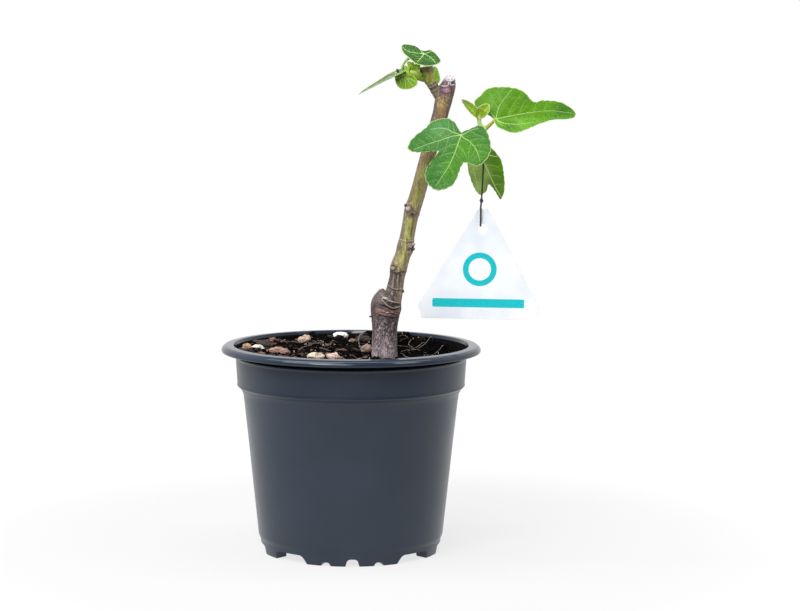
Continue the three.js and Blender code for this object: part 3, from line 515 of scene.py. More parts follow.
TRUNK_FOOT = (18, 2.4, 7.6)  # place, and the reach that stays free of loose things
CRUST = {"reach": 60.6, "rows": 84, "columns": 300, "bottom": 98, "skirt": 3}
BANK = {"towards": 0.35, "wider": 1.1, "higher": 4.2}  # peat heaped up, in radians from +X
FREE_REACH = 59.8  # how far out loose crumbs lie
FIBRE_REACH = 58
FIBRE_WIDTH = (0.05, 0.11)
ROOTLET_WIDTH = 0.085
STONES = {  # node: colour, how rough its surface is, how far it swells
    "stone_tan_left": (srgb(176, 150, 118), 0.9, 0.25),
    "stone_cream_left": (srgb(232, 222, 206), 0.7, 0.25),
    "stone_white_left": (srgb(222, 214, 204), 0.9, 0.45),
    "stone_grey": (srgb(186, 160, 142), 1.1, 0.1),
    "stone_white_back": (srgb(238, 236, 228), 1, 0.16),
    "stone_tan_front": (srgb(212, 196, 172), 1, 0.26),
    "stone_pink": (srgb(216, 192, 174), 1.5, 0.16),
    "stone_tan_back": (srgb(142, 118, 104), 1.1, 0.1),
    "stone_cream_right": (srgb(222, 212, 196), 0.6, 0.1),
    "stone_white_front": (srgb(222, 214, 200), 1, 0.2),
    "stone_tan_right": (srgb(150, 136, 122), 1, 0.1),
}
BARK_CHIPS = {
    "bark_left": (srgb(50, 40, 38), 1.5, 0.15), "bark_red_left": (srgb(150, 120, 106), 1.2, 0.2),
    "bark_red_back": (srgb(48, 36, 33), 1.4, 0.12), "bark_front": (srgb(84, 64, 58), 1.3, 0.1),
}
CLODS = {"clod_back": (srgb(22, 17, 16), 1.8, 0.1)}
ROOTLETS = [  # both ends on the soil, and how high the middle stands
    ((36, 30), (47, 49), 2.4), ((29, 22), (42, 26), 1.2), ((33, 44), (35, 26), 2),
    ((24, 18), (44, 44), 1), ((26, 14), (33, 6), 0.8), ((4, 30), (8, 54), 3.4),
    ((0, 34), (3, 50), 2), ((-18, 26), (-8, 18), 1.4), ((-30, 20), (-16, 30), 2.2),
    ((-20, 44), (-12, 30), 1.8), ((44, 18), (52, 30), 1), ((12, 50), (22, 46), 1.5),
]


# ---- numbers and curves


def unit(vectors):
    """The same directions with a length of 1."""
    return vectors / np.linalg.norm(vectors, axis=-1, keepdims=True)


def round_turns(count):
    """Evenly spread angles once round."""
    return np.linspace(0, 2 * np.pi, count, endpoint=False)


def polar(turn, reach):
    """Points of a plan from their angles and their distances."""
    return np.stack([reach * np.cos(turn), reach * np.sin(turn)], axis=-1)


def spatial(x, y, z):
    """Points in space from their three parts, each an array or one number."""
    return np.stack(np.broadcast_arrays(x, y, z), axis=-1)


def smoothstep(low, high, value):
    """From 0 at low to 1 at high, with soft ends."""
    t = np.clip((np.asarray(value, float) - low) / (high - low), 0, 1)
    return t * t * (3 - 2 * t)


def band(value, start, full, easing, end):
    """From 0 to 1 between start and full, and back to 0 between easing and end."""
    return smoothstep(start, full, value) * smoothstep(end, easing, value)


def bell(value, middle, width):
    """1 at the middle, fading to 0 some widths away."""
    return np.exp(-(((value - middle) / width) ** 2))


def spline(knots, count, closed=False):
    """Points spread evenly, knot by knot, over a Catmull-Rom curve."""
    knots = np.asarray(knots, float)
    if closed:
        padded = np.vstack([knots[-1:], knots, knots[:2]])
        t = np.linspace(0, len(knots), count, endpoint=False)
    else:
        padded = np.vstack([2 * knots[0] - knots[1], knots, 2 * knots[-1] - knots[-2]])
        t = np.linspace(0, len(knots) - 1, count)
    i = np.minimum(t.astype(int), len(padded) - 4)
    w = (t - i)[:, None]
    a, b, c, d = (padded[i + k] for k in range(4))
    return 0.5 * (2 * b + (c - a) * w + (2 * a - 5 * b + 4 * c - d) * w**2
                  + (3 * b - a - 3 * c + d) * w**3)


def even(points, spacing, closed=False):
    """The same line with its points the same distance apart."""
    if closed:
        points = np.vstack([points, points[:1]])
    run = np.concatenate([[0], np.cumsum(np.linalg.norm(np.diff(points, axis=0), axis=1))])
    count = max(2, round(run[-1] / spacing) + 1)
    marks = np.linspace(0, run[-1], count)
    laid = np.stack([np.interp(marks, run, column) for column in points.T], axis=1)
    return laid[:-1] if closed else laid


def noise(points, seed=0):
    """Smooth noise from -1 to 1, about one lump to each unit."""
    cell = np.floor(points).astype(np.int64)
    t = points - cell
    t = t * t * (3 - 2 * t)
    total = np.zeros(points.shape[:-1])
    for corner in product((0, 1), repeat=3):
        x, y, z = np.moveaxis(cell + corner, -1, 0)
        mixed = (x * 73856093) ^ (y * 19349663) ^ (z * 83492791) ^ (seed * 7919 + 17)
        mixed = (mixed ^ (mixed >> 13)) * 1274126177
        value = ((mixed ^ (mixed >> 16)) & 0xFFFF) / 32767.5 - 1
        total += value * np.prod(np.where(corner, t, 1 - t), axis=-1)
    return total


def fractal(points, octaves=3, seed=0):
    """Noise with finer and fainter noise on it."""
    return sum(noise(points * 2**k + 31.7 * k, seed + k) / 2**k for k in range(octaves))


def nearest(points, line):
    """Distance from each point to the nearest point of a line, worked out in slices."""
    flat = points.reshape(-1, points.shape[-1])
    slices = [
        np.sqrt(((part[:, None] - line[None]) ** 2).sum(-1).min(1))
        for part in np.array_split(flat, len(flat) // 4000 + 1)
    ]
    return np.concatenate(slices).reshape(points.shape[:-1])


def mixed(colour, other, share):
    """One colour blended into another where share is 1."""
    return colour + (np.asarray(other) - colour) * np.asarray(share)[..., None]


def layered(colour, shape, layers):
    """A colour all over a shape, with others laid over it in turn, each by its share."""
    colour = np.broadcast_to(colour, shape)
    for other, share in layers:
        colour = mixed(colour, other, share)
    return colour


def rounded(corners, steps=5):
    """A profile whose corners (x, y, rounding) are turned into short curves."""
    line = []
    for i, (x, y, radius) in enumerate(corners):
        here = np.array((x, y), float)
        if radius == 0:
            line.append(here)
            continue
        before = np.array(corners[i - 1][:2]) - here
        after = np.array(corners[(i + 1) % len(corners)][:2]) - here
        start = here + unit(before) * min(radius, np.linalg.norm(before) * 0.45)
        end = here + unit(after) * min(radius, np.linalg.norm(after) * 0.45)
        for t in np.linspace(0, 1, steps):
            line.append((1 - t) ** 2 * start + 2 * t * (1 - t) * here + t**2 * end)
    return np.array(line)


# ---- meshes


def ring_faces(rows, columns):
    """Quads between rows of points that each close into a ring."""
    row, column = np.meshgrid(np.arange(rows - 1), np.arange(columns), indexing="ij")
    here = row * columns + column
    beside = row * columns + (column + 1) % columns
    return np.stack([here, beside, beside + columns, here + columns], axis=-1).reshape(-1, 4)


def tube(rings):
    """Points and faces of a closed tube through rings of points."""
    rows, columns = rings.shape[:2]
    points = np.vstack([rings.reshape(-1, 3), rings[0].mean(0), rings[-1].mean(0)])
    column = np.arange(columns)
    beside = (column + 1) % columns
    foot = np.full(columns, rows * columns)
    last = (rows - 1) * columns
    caps = np.vstack([
        np.stack([beside, column, foot], axis=1),
        np.stack([last + column, last + beside, foot + 1], axis=1),
    ])
    return points, [ring_faces(rows, columns), caps]


def paint_points(mesh, colours):
    """Gives a mesh one colour for each of its points."""
    paint = mesh.attributes.new("paint", "FLOAT_COLOR", "POINT")
    paint.data.foreach_set("color", np.hstack([colours, np.ones((len(colours), 1))]).ravel())


class Form:
    """Points in millimetres, faces and colours, gathered from several shapes into one object."""

    def __init__(self):
        self.points, self.faces, self.finish, self.paint, self.flat = [], [], [], [], []
        self.count = 0

    def add(self, points, faces, paint=(1, 1, 1), finish=0, flat=None):
        """Adds a shape. Paint is one colour or one for each point, flat its places on a plan."""
        for group in faces:
            self.faces += (group + self.count).tolist()
            self.finish += [finish] * len(group)
        self.points.append(points)
        self.paint.append(np.broadcast_to(paint, (len(points), 3)))
        self.flat.append(points[:, :2] if flat is None else flat)
        self.count += len(points)

    def make(self, name, finishes, smooth=True):
        """Makes the object."""
        mesh = bpy.data.meshes.new(name)
        mesh.from_pydata((np.vstack(self.points) * MM).tolist(), [], self.faces)
        for finish in finishes:
            mesh.materials.append(finish)
        mesh.polygons.foreach_set("material_index", self.finish)
        mesh.polygons.foreach_set("use_smooth", [smooth] * len(self.faces))
        paint_points(mesh, np.vstack(self.paint))
        corners = np.empty(len(mesh.loops), np.int32)
        mesh.loops.foreach_get("vertex_index", corners)
        plan = mesh.uv_layers.new(name="plan")
        plan.data.foreach_set("uv", (np.vstack(self.flat) * MM)[corners].ravel())
        mesh.update()
        return shown(bpy.data.objects.new(name, mesh))

    def build(self, name, finishes, node=None, slot=None, smooth=True):
        """Makes a piece, which rides the pot's body and may stand for a node."""
        return place(self.make(name, finishes, smooth), node)


def shown(made):
    """Links an object into the scene."""
    bpy.context.scene.collection.objects.link(made)
    return made


def place(made, node=None):
    """Lets a piece ride the body, and hides the node that it stands for."""
    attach(made, BODY)
    if node:
        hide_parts(node)
    return made


def applied(source):
    """A new mesh of an object with its modifiers applied."""
    bpy.context.view_layer.update()
    graph = bpy.context.evaluated_depsgraph_get()
    return bpy.data.meshes.new_from_object(source.evaluated_get(graph), depsgraph=graph)


def baked(source, name):
    """An object's finished mesh under a name of its own; the object is removed."""
    mesh = applied(source)
    mesh.name = name
    bpy.data.objects.remove(source)
    return mesh


def limb_frames(stations, steps):
    """Middle, radius, direction and two sideways directions at each step of a limb."""
    path = spline(stations, steps + 1)
    middle, radius = path[:, :3], path[:, 3]
    along = unit(np.gradient(middle, axis=0))
    across = np.empty_like(along)
    side = np.array([0.0, -1.0, 0.0])
    for step, direction in enumerate(along):
        side = side - direction * side.dot(direction)
        side /= np.linalg.norm(side)
        across[step] = side
    return middle, radius, along, across, np.cross(along, across)


def limb(stations, sides, steps):
    """A round limb: its rings, the way their points look, its middle, radius and angles."""
    middle, radius, _, across, other = limb_frames(stations, steps)
    angle = round_turns(sides)
    outward = (across[:, None] * np.cos(angle)[None, :, None]
               + other[:, None] * np.sin(angle)[None, :, None])
    rings = middle[:, None] + outward * radius[:, None, None]
    return rings, outward, middle, radius, angle


def plain_limb(stations, sides, steps):
    """Points and faces of a closed round limb."""
    return tube(limb(stations, sides, steps)[0])


# ---- materials


class Wire:
    """A socket's value. Python's arithmetic on it adds the Math nodes."""

    def __init__(self, finish, socket):
        self.finish, self.socket = finish, socket

    def maths(self, operation, *values):
        return self.finish.node("ShaderNodeMath", {"operation": operation}, dict(enumerate(values)))

    def __add__(self, other):
        return self.maths("ADD", self, other)

    def __sub__(self, other):
        return self.maths("SUBTRACT", self, other)

    def __rsub__(self, other):
        return self.maths("SUBTRACT", other, self)

    def __mul__(self, other):
        return self.maths("MULTIPLY", self, other)

    __radd__ = __add__
    __rmul__ = __mul__


class Nodes:
    """A material's or world's nodes."""

    def __init__(self, owner):
        owner.use_nodes = True
        self.nodes, self.links = owner.node_tree.nodes, owner.node_tree.links

    def join(self, socket, value):
        """Links a wire to a socket, or sets the socket's own value."""
        if isinstance(value, Wire):
            self.links.new(value.socket, socket)
        elif np.ndim(value) and len(socket.default_value) == 4:
            socket.default_value = (*value, 1)
        else:
            socket.default_value = value

    def node(self, kind, settings=None, inputs=None, output=0):
        """Any node: its settings are set first, then the values or links of its sockets."""
        made = self.nodes.new(kind)
        for key, value in (settings or {}).items():
            if key == "stops":
                ramp = made.color_ramp.elements
                while len(ramp) < len(value):
                    ramp.new(0.5)
                for stop, (position, colour) in zip(ramp, value):
                    stop.position, stop.color = position, (*colour, 1)
            else:
                setattr(made, key, value)
        for key, value in (inputs or {}).items():
            self.join(made.inputs[key], value)
        return Wire(self, made.outputs[output])

    def clamp(self, value, low, high):
        """Where a value lies between low and high, from 0 to 1."""
        inputs = {"Value": value, "From Min": low, "From Max": high}
        return self.node("ShaderNodeMapRange", {"interpolation_type": "SMOOTHSTEP"}, inputs)

    def part(self, vector, axis):
        """One part of a vector: X, Y or Z."""
        return self.node("ShaderNodeSeparateXYZ", {}, {0: vector}, axis)


class Finish(Nodes):
    """A procedural material and its Principled shader."""

    def __init__(self, name):
        self.material = bpy.data.materials.new(name)
        super().__init__(self.material)
        self.shader = self.nodes["Principled BSDF"]

    def surface(self, **inputs):
        """Sets the shader's sockets, named as base_color or coat_weight, and gives the material."""
        for key, value in inputs.items():
            socket = key.replace("_", " ").title().replace("Ior", "IOR")
            self.join(self.shader.inputs[socket], value)
        return self.material

    def spot(self, stretch=(1, 1, 1)):
        """Where a point lies on the object, in metres, drawn out or pressed along each axis."""
        where = self.node("ShaderNodeTexCoord", output="Object")
        return self.node("ShaderNodeMapping", {}, {"Vector": where, "Scale": stretch})

    def noise(self, size, detail=3, where=None, roughness=0.5):
        """Noise from 0 to 1 with lumps of a size in millimetres."""
        inputs = {"Vector": where or self.spot(), "Scale": 1 / (size * MM), "Detail": detail,
                  "Roughness": roughness}
        return self.node("ShaderNodeTexNoise", {}, inputs)

    def cells(self, size, where):
        """How far a point lies from the edge of its cell, for cells of a size in millimetres."""
        inputs = {"Vector": where, "Scale": 1 / (size * MM)}
        return self.node("ShaderNodeTexVoronoi", {"feature": "DISTANCE_TO_EDGE"}, inputs)

    def ramp(self, value, stops):
        """A value turned into a colour."""
        return self.node("ShaderNodeValToRGB", {"stops": stops}, {"Fac": value})

    def blend(self, share, first, second):
        """Two colours blended."""
        return self.node("ShaderNodeMix", {"data_type": "RGBA"}, {0: share, 6: first, 7: second}, 2)

    def tint(self, colour, value, strength):
        """A colour made darker or lighter by a value round 0.5."""
        grey = self.node("ShaderNodeCombineXYZ", {}, {i: value * 2 for i in range(3)})
        return self.blend(strength, colour, self.node(
            "ShaderNodeVectorMath", {"operation": "MULTIPLY"}, {0: colour, 1: grey}))

    def painted(self):
        """The colour painted on the mesh's points."""
        return self.node("ShaderNodeAttribute", {"attribute_name": "paint"}, output="Color")

    def bump(self, height, depth, strength=1.0):
        """A bump from a height of 0 to 1, with its full depth in millimetres."""
        inputs = {"Height": height, "Distance": depth * MM, "Strength": strength}
        return self.node("ShaderNodeBump", {}, inputs)


def plastic_finish(settings):
    """Satin black plastic, faintly wavy and scuffed, with a glossier rim."""
    finish = Finish("pot_plastic")
    grain = finish.noise(0.35, 2)
    wave = finish.noise(14, 2)
    worn = finish.clamp(finish.noise(0.8, 4), 0.62, 0.8)
    colour = finish.tint(tuple(settings.plastic), finish.noise(30, 3), 0.25)
    rim = finish.clamp(finish.part(finish.spot(), "Z"), 0.104, 0.107)
    return finish.surface(
        base_color=finish.blend(worn * 0.03, colour, srgb(120, 126, 134)),
        roughness=settings.plastic_roughness + (wave - 0.5) * 0.08 + worn * 0.06 - rim * 0.17,
        specular_ior_level=0.38,
        normal=finish.bump(grain * 0.35 + wave * 8, 0.03, 0.35),
    )


def shade_and_dust_finish():
    """The pot's inside and the groove under its rim: black and matte as painted shade, and dull with
    fine peat dust.
    """
    finish = Finish("pot_plastic_shade_and_dust")
    dust = finish.noise(1.2, 5, roughness=0.7)
    return finish.surface(
        # painted shade: near black, with brown peat dust where the noise is high
        base_color=finish.ramp(dust, [(0.5, (0.002, 0.0022, 0.003)), (0.8, srgb(44, 36, 32))]),
        roughness=0.9,
        specular_ior_level=0.05,
        normal=finish.bump(dust, 0.2, 0.6),
    )


def peat_finish(settings):
    """Nearly black moist peat with a few pale flecks."""
    finish = Finish("peat")
    lumps = finish.noise(2.2, 6, roughness=0.7)
    colour = finish.ramp(lumps, [(0.35, srgb(1, 1, 1)), (0.58, tuple(settings.peat)),
                                 (0.76, srgb(24, 17, 15))])
    flecks = finish.clamp(finish.noise(0.9, 3), 0.68, 0.76)
    return finish.surface(
        base_color=finish.blend(flecks * 0.6, colour, srgb(120, 92, 66)),
        roughness=0.95,
        specular_ior_level=0.04,
        normal=finish.bump(finish.noise(0.5, 5, roughness=0.75), 0.5, 0.9),
    )


def crumbs_finish():
    """Painted crumbs and fibres with a rough skin."""
    finish = Finish("peat_crumb")
    return finish.surface(
        base_color=finish.tint(finish.painted(), finish.noise(0.5, 4), 0.8),
        roughness=0.92,
        specular_ior_level=0.06,
        normal=finish.bump(finish.noise(0.3, 4, roughness=0.7), 0.2, 0.8),
    )


def stone_finish():
    """Painted porous stone with dusty pits."""
    finish = Finish("stone")
    grain = finish.noise(0.8, 6, roughness=0.72)
    pits = finish.clamp(finish.noise(0.55, 2), 0.3, 0.42)
    dusty = finish.tint(finish.painted(), grain, 0.7)
    return finish.surface(
        base_color=finish.blend(1 - pits, dusty, srgb(84, 62, 48)),
        roughness=0.9,
        normal=finish.bump(grain * 0.6 + pits * 0.5, 0.3, 0.8),
    )


def chip_finish():
    """Painted bark chips with thin layers."""
    finish = Finish("bark_chip")
    layers = finish.noise(0.7, 5, finish.spot((0.3, 1, 1.6)), 0.6)
    shaded = finish.tint(finish.painted(), layers, 0.9)
    return finish.surface(
        base_color=finish.blend(finish.clamp(layers, 0.6, 0.75) * 0.4, shaded, srgb(166, 134, 116)),
        roughness=0.8,
        normal=finish.bump(layers, 0.4, 0.9),
    )


def bark_finish(settings):
    """Painted bark with fine long fibres, pale lens-shaped pores and a little gloss."""
    finish = Finish("bark")
    fibres = finish.clamp(finish.noise(0.55, 4, finish.spot((1, 1, 0.25)), 0.6), 0.25, 0.75)
    specks = finish.clamp(finish.noise(0.5, 2, finish.spot((1, 1, 0.6))), 0.6, 0.7)
    toned = finish.tint(finish.painted(), fibres, 0.45)
    return finish.surface(
        base_color=finish.blend(specks * 0.45, toned, srgb(204, 190, 170)),
        roughness=settings.bark_roughness + (fibres - 0.5) * 0.3,
        normal=finish.bump(fibres + specks * 0.4, 0.12, 0.9),
    )


def leaf_finish(settings):
    """Painted leaf with a fine net of cells between its veins, pale hairs with their glints painted
    in, and a soft shine.
    """
    finish = Finish("leaf")
    plan = finish.node("ShaderNodeUVMap", {"uv_map": "plan"})
    shift = finish.node("ShaderNodeTexNoise", {}, {"Vector": plan, "Scale": 400}, "Color")
    wavy = finish.node("ShaderNodeVectorMath", {"operation": "MULTIPLY_ADD"},
                       {0: shift, 1: (0.0012, 0.0012, 0), 2: plan})
    net = finish.clamp(finish.cells(1.7, wavy), 0, 0.1)
    mottle = finish.noise(0.7, 3, plan, 0.6)
    toned = finish.tint(finish.painted(), mottle, 0.35)
    # pale specks: the leaf's fine hairs, with painted glints on them
    hair_glints = finish.clamp(finish.noise(0.55, 1, plan), 0.56, 0.7)
    return finish.surface(
        base_color=finish.blend((1 - net) * 0.07 + hair_glints * 0.36, toned, srgb(168, 206, 84)),
        roughness=settings.leaf_roughness + (mottle - 0.5) * 0.25,
        specular_ior_level=0.18,
        normal=finish.bump(net * 0.5 + finish.noise(0.3, 2, plan) * 0.4, 0.06, 0.8),
    )


def stalk_finish():
    """Painted green stalks with fine ribs."""
    finish = Finish("stalk")
    ribs = finish.noise(0.5, 3, finish.spot((1, 1, 0.3)))
    return finish.surface(
        base_color=finish.tint(finish.painted(), ribs, 0.4),
        roughness=0.45 + (ribs - 0.5) * 0.2,
        normal=finish.bump(ribs, 0.08, 0.6),
    )


def card_finish(settings):
    """White card, a little cloudy, with a satin skin."""
    finish = Finish("card")
    cloud = finish.clamp(finish.noise(22, 2), 0.35, 0.65)
    return finish.surface(
        base_color=finish.blend(cloud, tuple(settings.card), srgb(244, 248, 252)),
        roughness=0.42 + (finish.noise(3, 2) - 0.5) * 0.06,
        normal=finish.bump(finish.noise(0.4, 2), 0.01, 0.4),
    )


def print_finish(settings):
    """Ink on the card, slightly uneven."""
    finish = Finish("card_print")
    ink = finish.noise(0.8, 3)
    return finish.surface(
        base_color=finish.tint(tuple(settings.ink), ink * 0.2 + 0.4, 1),
        roughness=0.36 + (ink - 0.5) * 0.08,
        normal=finish.bump(ink, 0.004, 0.3),
    )


def thread_finish():
    """Black thread with a fine fuzz."""
    finish = Finish("thread")
    fuzz = finish.noise(0.18, 4)
    return finish.surface(
        base_color=finish.ramp(fuzz, [(0.3, srgb(18, 17, 20)), (0.8, srgb(66, 62, 68))]),
        roughness=0.75 + (fuzz - 0.5) * 0.2,
        normal=finish.bump(fuzz, 0.1, 0.8),
    )


def floor_finish(settings):
    """A pale floor that grows whiter away from the pot, so that it has no edge."""
    finish = Finish("studio_floor")
    away = finish.node("ShaderNodeVectorMath", {"operation": "LENGTH"}, {0: finish.spot()}, "Value")
    return finish.surface(
        base_color=tuple(settings.floor), roughness=0.95, specular_ior_level=0,
        emission_color=finish.blend(finish.clamp(away, 0.16, 0.36), (0.84, 0.84, 0.84), (1, 1, 1)),
        emission_strength=settings.floor_glow,
    )


# ---- pot


def lathe(profile, columns):
    """A ring-shaped solid turned from a closed profile that starts and ends on the axis."""
    angle = round_turns(columns)
    reach, height = profile[1:-1, None, 0], profile[1:-1, None, 1]
    return tube(spatial(reach * np.cos(angle), reach * np.sin(angle), height))


def arch_cutter(azimuth, left, right, top_left, top_right, height):
    """A wedge through the foot's ring, pointing out from the middle, with a rounded top."""
    bend = min(2.2, 0.45 * height, 0.45 * (top_right - top_left))
    outline = rounded([(left, -3, 0), (right, -3, 0), (right, 0, 0.3), (top_right, height, bend),
                       (top_left, height, bend), (left, 0, 0.3)])
    turn = math.radians(azimuth)
    outward = np.array([math.sin(turn), -math.cos(turn)])
    beside = np.array([math.cos(turn), math.sin(turn)])
    return tube(np.array([[(*(beside * x + outward * reach), z) for x, z in outline]
                          for reach in ARCH_REACH]))


def foot_cutter():
    """All the arches and drains as one object, to be cut out of the pot."""
    cutters = Form()
    for azimuth, *size in ARCHES:
        for half_turn in (0, 180):
            cutters.add(*arch_cutter(azimuth + half_turn + POT_TURN, *size))
    for i in range(DRAINS["count"]):
        turn = math.radians(i * 360 / DRAINS["count"] + POT_TURN)
        x, y = DRAINS["ring"] * math.sin(turn), -DRAINS["ring"] * math.cos(turn)
        drain = [(x, y, height, DRAINS["radius"]) for height in DRAINS["heights"]]
        cutters.add(*plain_limb(drain, DRAINS["columns"], 1))
    return cutters.make("pot_cutters", [])


def is_shaded_dusty(face):
    """Whether a face of the pot lies inside it or in the groove under its rim, where the shade is
    painted black.
    """
    x, y, z = face.center / MM
    low, high, reach = SHADED_DUSTY_GROOVE
    inside = face.normal.x * x + face.normal.y * y < 0 and SHADED_DUSTY_INSIDE[0] < z < SHADED_DUSTY_INSIDE[1]
    return inside or (math.hypot(x, y) < reach and low < z < high)


def build_pot(settings):
    """The pot, turned from its profile, with the foot's arches and drains cut through."""
    body = Form()
    body.add(*lathe(rounded(POT_UNDERSIDE + POT_OUTSIDE + POT_INSIDE), POT_COLUMNS))
    pot = body.build("pot_shell", [plastic_finish(settings)], "pot", "pot_plastic")
    cutter = foot_cutter()
    cut = pot.modifiers.new("foot", "BOOLEAN")
    cut.operation, cut.solver, cut.object = "DIFFERENCE", "EXACT", cutter
    mesh = applied(pot)
    pot.modifiers.clear()
    pot.data = mesh
    # painted shade: the inside and the groove under the rim get a black matte finish, with fine dust
    mesh.materials.append(shade_and_dust_finish())
    for face in mesh.polygons:
        face.material_index = int(is_shaded_dusty(face))
    mesh.set_sharp_from_angle(angle=math.radians(32))
    bpy.data.objects.remove(cutter)


# ---- soil


def ground_tree():
    """The frame's own soil, for finding how high it lies."""
    return BVHTree.FromObject(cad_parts["soil"], bpy.context.evaluated_depsgraph_get())


def ground_height(tree, x, y):
    """How high the frame's soil lies at a place."""
    hit = tree.ray_cast(Vector((x * MM, y * MM, 1)), Vector((0, 0, -1)))[0]
    return hit.z / MM if hit else 100.0


def crust_height(x, y):
    """How far the crumbly surface stands above the frame's soil."""
    where = spatial(x, y, 0)
    lumps = fractal(where / 7, 4, 3)
    return 0.15 + 1.5 * smoothstep(-0.7, 1, lumps) + 0.35 * np.abs(fractal(where / 1.6, 2, 9))


def chip_places():
    """The middle and half size on the plan of each stone, chip and clod."""
    places = []
    for chip in [*STONES, *BARK_CHIPS, *CLODS]:
        low, high = (np.array(corner)[:2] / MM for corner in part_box(chip))
        places.append(((low + high) / 2, (high - low) / 2))
    return places


def clear_of_chips(x, y, places):
    """From 0 on a stone or chip to 1 away from all of them."""
    clear = np.ones_like(np.asarray(x, float))
    for middle, half in places:
        off = np.hypot((x - middle[0]) / half[0], (y - middle[1]) / half[1])
        clear = np.minimum(clear, smoothstep(0.8, 1.5, off))
    return clear


def off_trunk(x, y):
    """Whether a place is clear of the trunk's foot."""
    return math.hypot(x - TRUNK_FOOT[0], y - TRUNK_FOOT[1]) > TRUNK_FOOT[2]


def build_crust(look, chips):
    """The crumbly crust on the frame's soil; gives its upper points, ring by ring."""
    share = np.linspace(0.004, 1, CRUST["rows"]) ** 0.75
    angle = round_turns(CRUST["columns"])
    banked = smoothstep(0.15, 0.95, np.cos(angle - BANK["towards"]))
    reach = (CRUST["reach"] + BANK["wider"] * banked) * share[:, None]
    x, y = reach * np.cos(angle), reach * np.sin(angle)
    tree = ground_tree()
    base = np.array([[ground_height(tree, u, v) for u, v in zip(*pair)] for pair in zip(x, y)])
    base = base + BANK["higher"] * banked * smoothstep(0.74, 1, share)[:, None]
    top = spatial(x, y, base + crust_height(x, y) * clear_of_chips(x, y, chips))
    under = spatial(x[:1] * 0.297, y[:1] * 0.297, CRUST["bottom"])
    skirt = spatial(x[-1:], y[-1:], base[-1:] - CRUST["skirt"])
    crust = Form()
    crust.add(*tube(np.concatenate([under, skirt, top[::-1]])))
    crust.build("peat_crust", [look], slot="peat")
    return top


class Ground:
    """The finished surface of the peat and the free places on it."""

    def __init__(self, top, chips, random):
        self.chips, self.random = chips, random
        faces = ring_faces(*top.shape[:2]).tolist()
        self.tree = BVHTree.FromPolygons([Vector(point) for point in top.reshape(-1, 3)], faces)

    def height(self, x, y):
        """How high the peat lies at a place."""
        hit = self.tree.ray_cast(Vector((x, y, 200)), Vector((0, 0, -1)))[0]
        return hit.z if hit else 103.0

    def spot(self, reach=FREE_REACH):
        """A place at random, clear of the trunk and the stones."""
        while True:
            x, y = self.random.uniform(-reach, reach, 2)
            clear = math.hypot(x, y) < reach and off_trunk(x, y)
            if clear and clear_of_chips(x, y, self.chips) > 0.25:
                return x, y


def build_soil(settings):
    """The peat: a crumbly crust, loose crumbs, fibres, rootlets and white specks."""
    soil, look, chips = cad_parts["soil"], peat_finish(settings), chip_places()
    soil.data.materials.clear()
    soil.data.materials.append(look)
    random = np.random.default_rng(11)
    ground = Ground(build_crust(look, chips), chips, random)
    scatter_crumbs(settings, random, ground)
    scatter_fibres(settings, random, ground)


def ball(detail):
    """Points and triangles of a round ball of radius 1."""
    made = bmesh.new()
    bmesh.ops.create_icosphere(made, subdivisions=detail, radius=1)
    points = np.array([vert.co for vert in made.verts])
    faces = np.array([[vert.index for vert in f.verts] for f in made.faces])
    made.free()
    return points, faces


def broken(points, size, random):
    """A ball of points broken up, pressed and turned."""
    shape = points * (1 + 0.28 * random.standard_normal((len(points), 1)).clip(-1.4, 1.4))
    turn = np.array(Matrix.Rotation(random.uniform(0, 6.3), 3, random.standard_normal(3)))
    return (shape * size * random.uniform(0.6, 1.25, 3)) @ turn


def scatter_crumbs(settings, random, ground):
    """Crumbs of peat, bits of bark among them, and white specks."""
    points, faces = ball(2)
    blacks = [srgb(2, 2, 2), srgb(6, 5, 5), srgb(12, 9, 9), srgb(30, 22, 19), srgb(64, 46, 40)]
    browns = [srgb(76, 52, 45), srgb(58, 39, 36), srgb(110, 82, 70), srgb(40, 27, 25)]
    crumbs, bits, specks = Form(), Form(), Form()
    for _ in range(settings.crumbs):
        x, y = ground.spot()
        size = 0.35 + 1.1 * random.random() ** 3.2
        shade = blacks[min(4, int(random.random() ** 2.4 * (5.4 - 0.035 * (x + 60))))]
        at = (x, y, ground.height(x, y) + size * 0.15)
        crumbs.add(broken(points, size, random) + at, [faces], shade)
    crumbs.build("peat_crumbs", [crumbs_finish()], slot="peat", smooth=False)
    for _ in range(settings.bits):
        x, y = ground.spot()
        if random.random() > 0.9 - 0.012 * (x + 50):
            continue
        size = random.uniform(0.7, 2.1)
        shape = broken(points, size, random) * (1.2, 1, 0.55)
        at = (x, y, ground.height(x, y) + size * 0.25)
        bits.add(shape + at, [faces], browns[random.integers(4)])
    bits.build("bark_bits", [chip_finish()], slot="bark_chip", smooth=False)
    points, faces = ball(1)
    for _ in range(settings.specks):
        x, y = ground.spot()
        size = random.uniform(0.2, 0.55)
        shape = points * size * random.uniform(0.6, 1.2, (len(points), 1))
        at = (x, y, ground.height(x, y) + size * 0.5)
        specks.add(shape + at, [faces], srgb(206, 196, 180))
    specks.build("grit_specks", [stone_finish()], slot="white_stone", smooth=False)


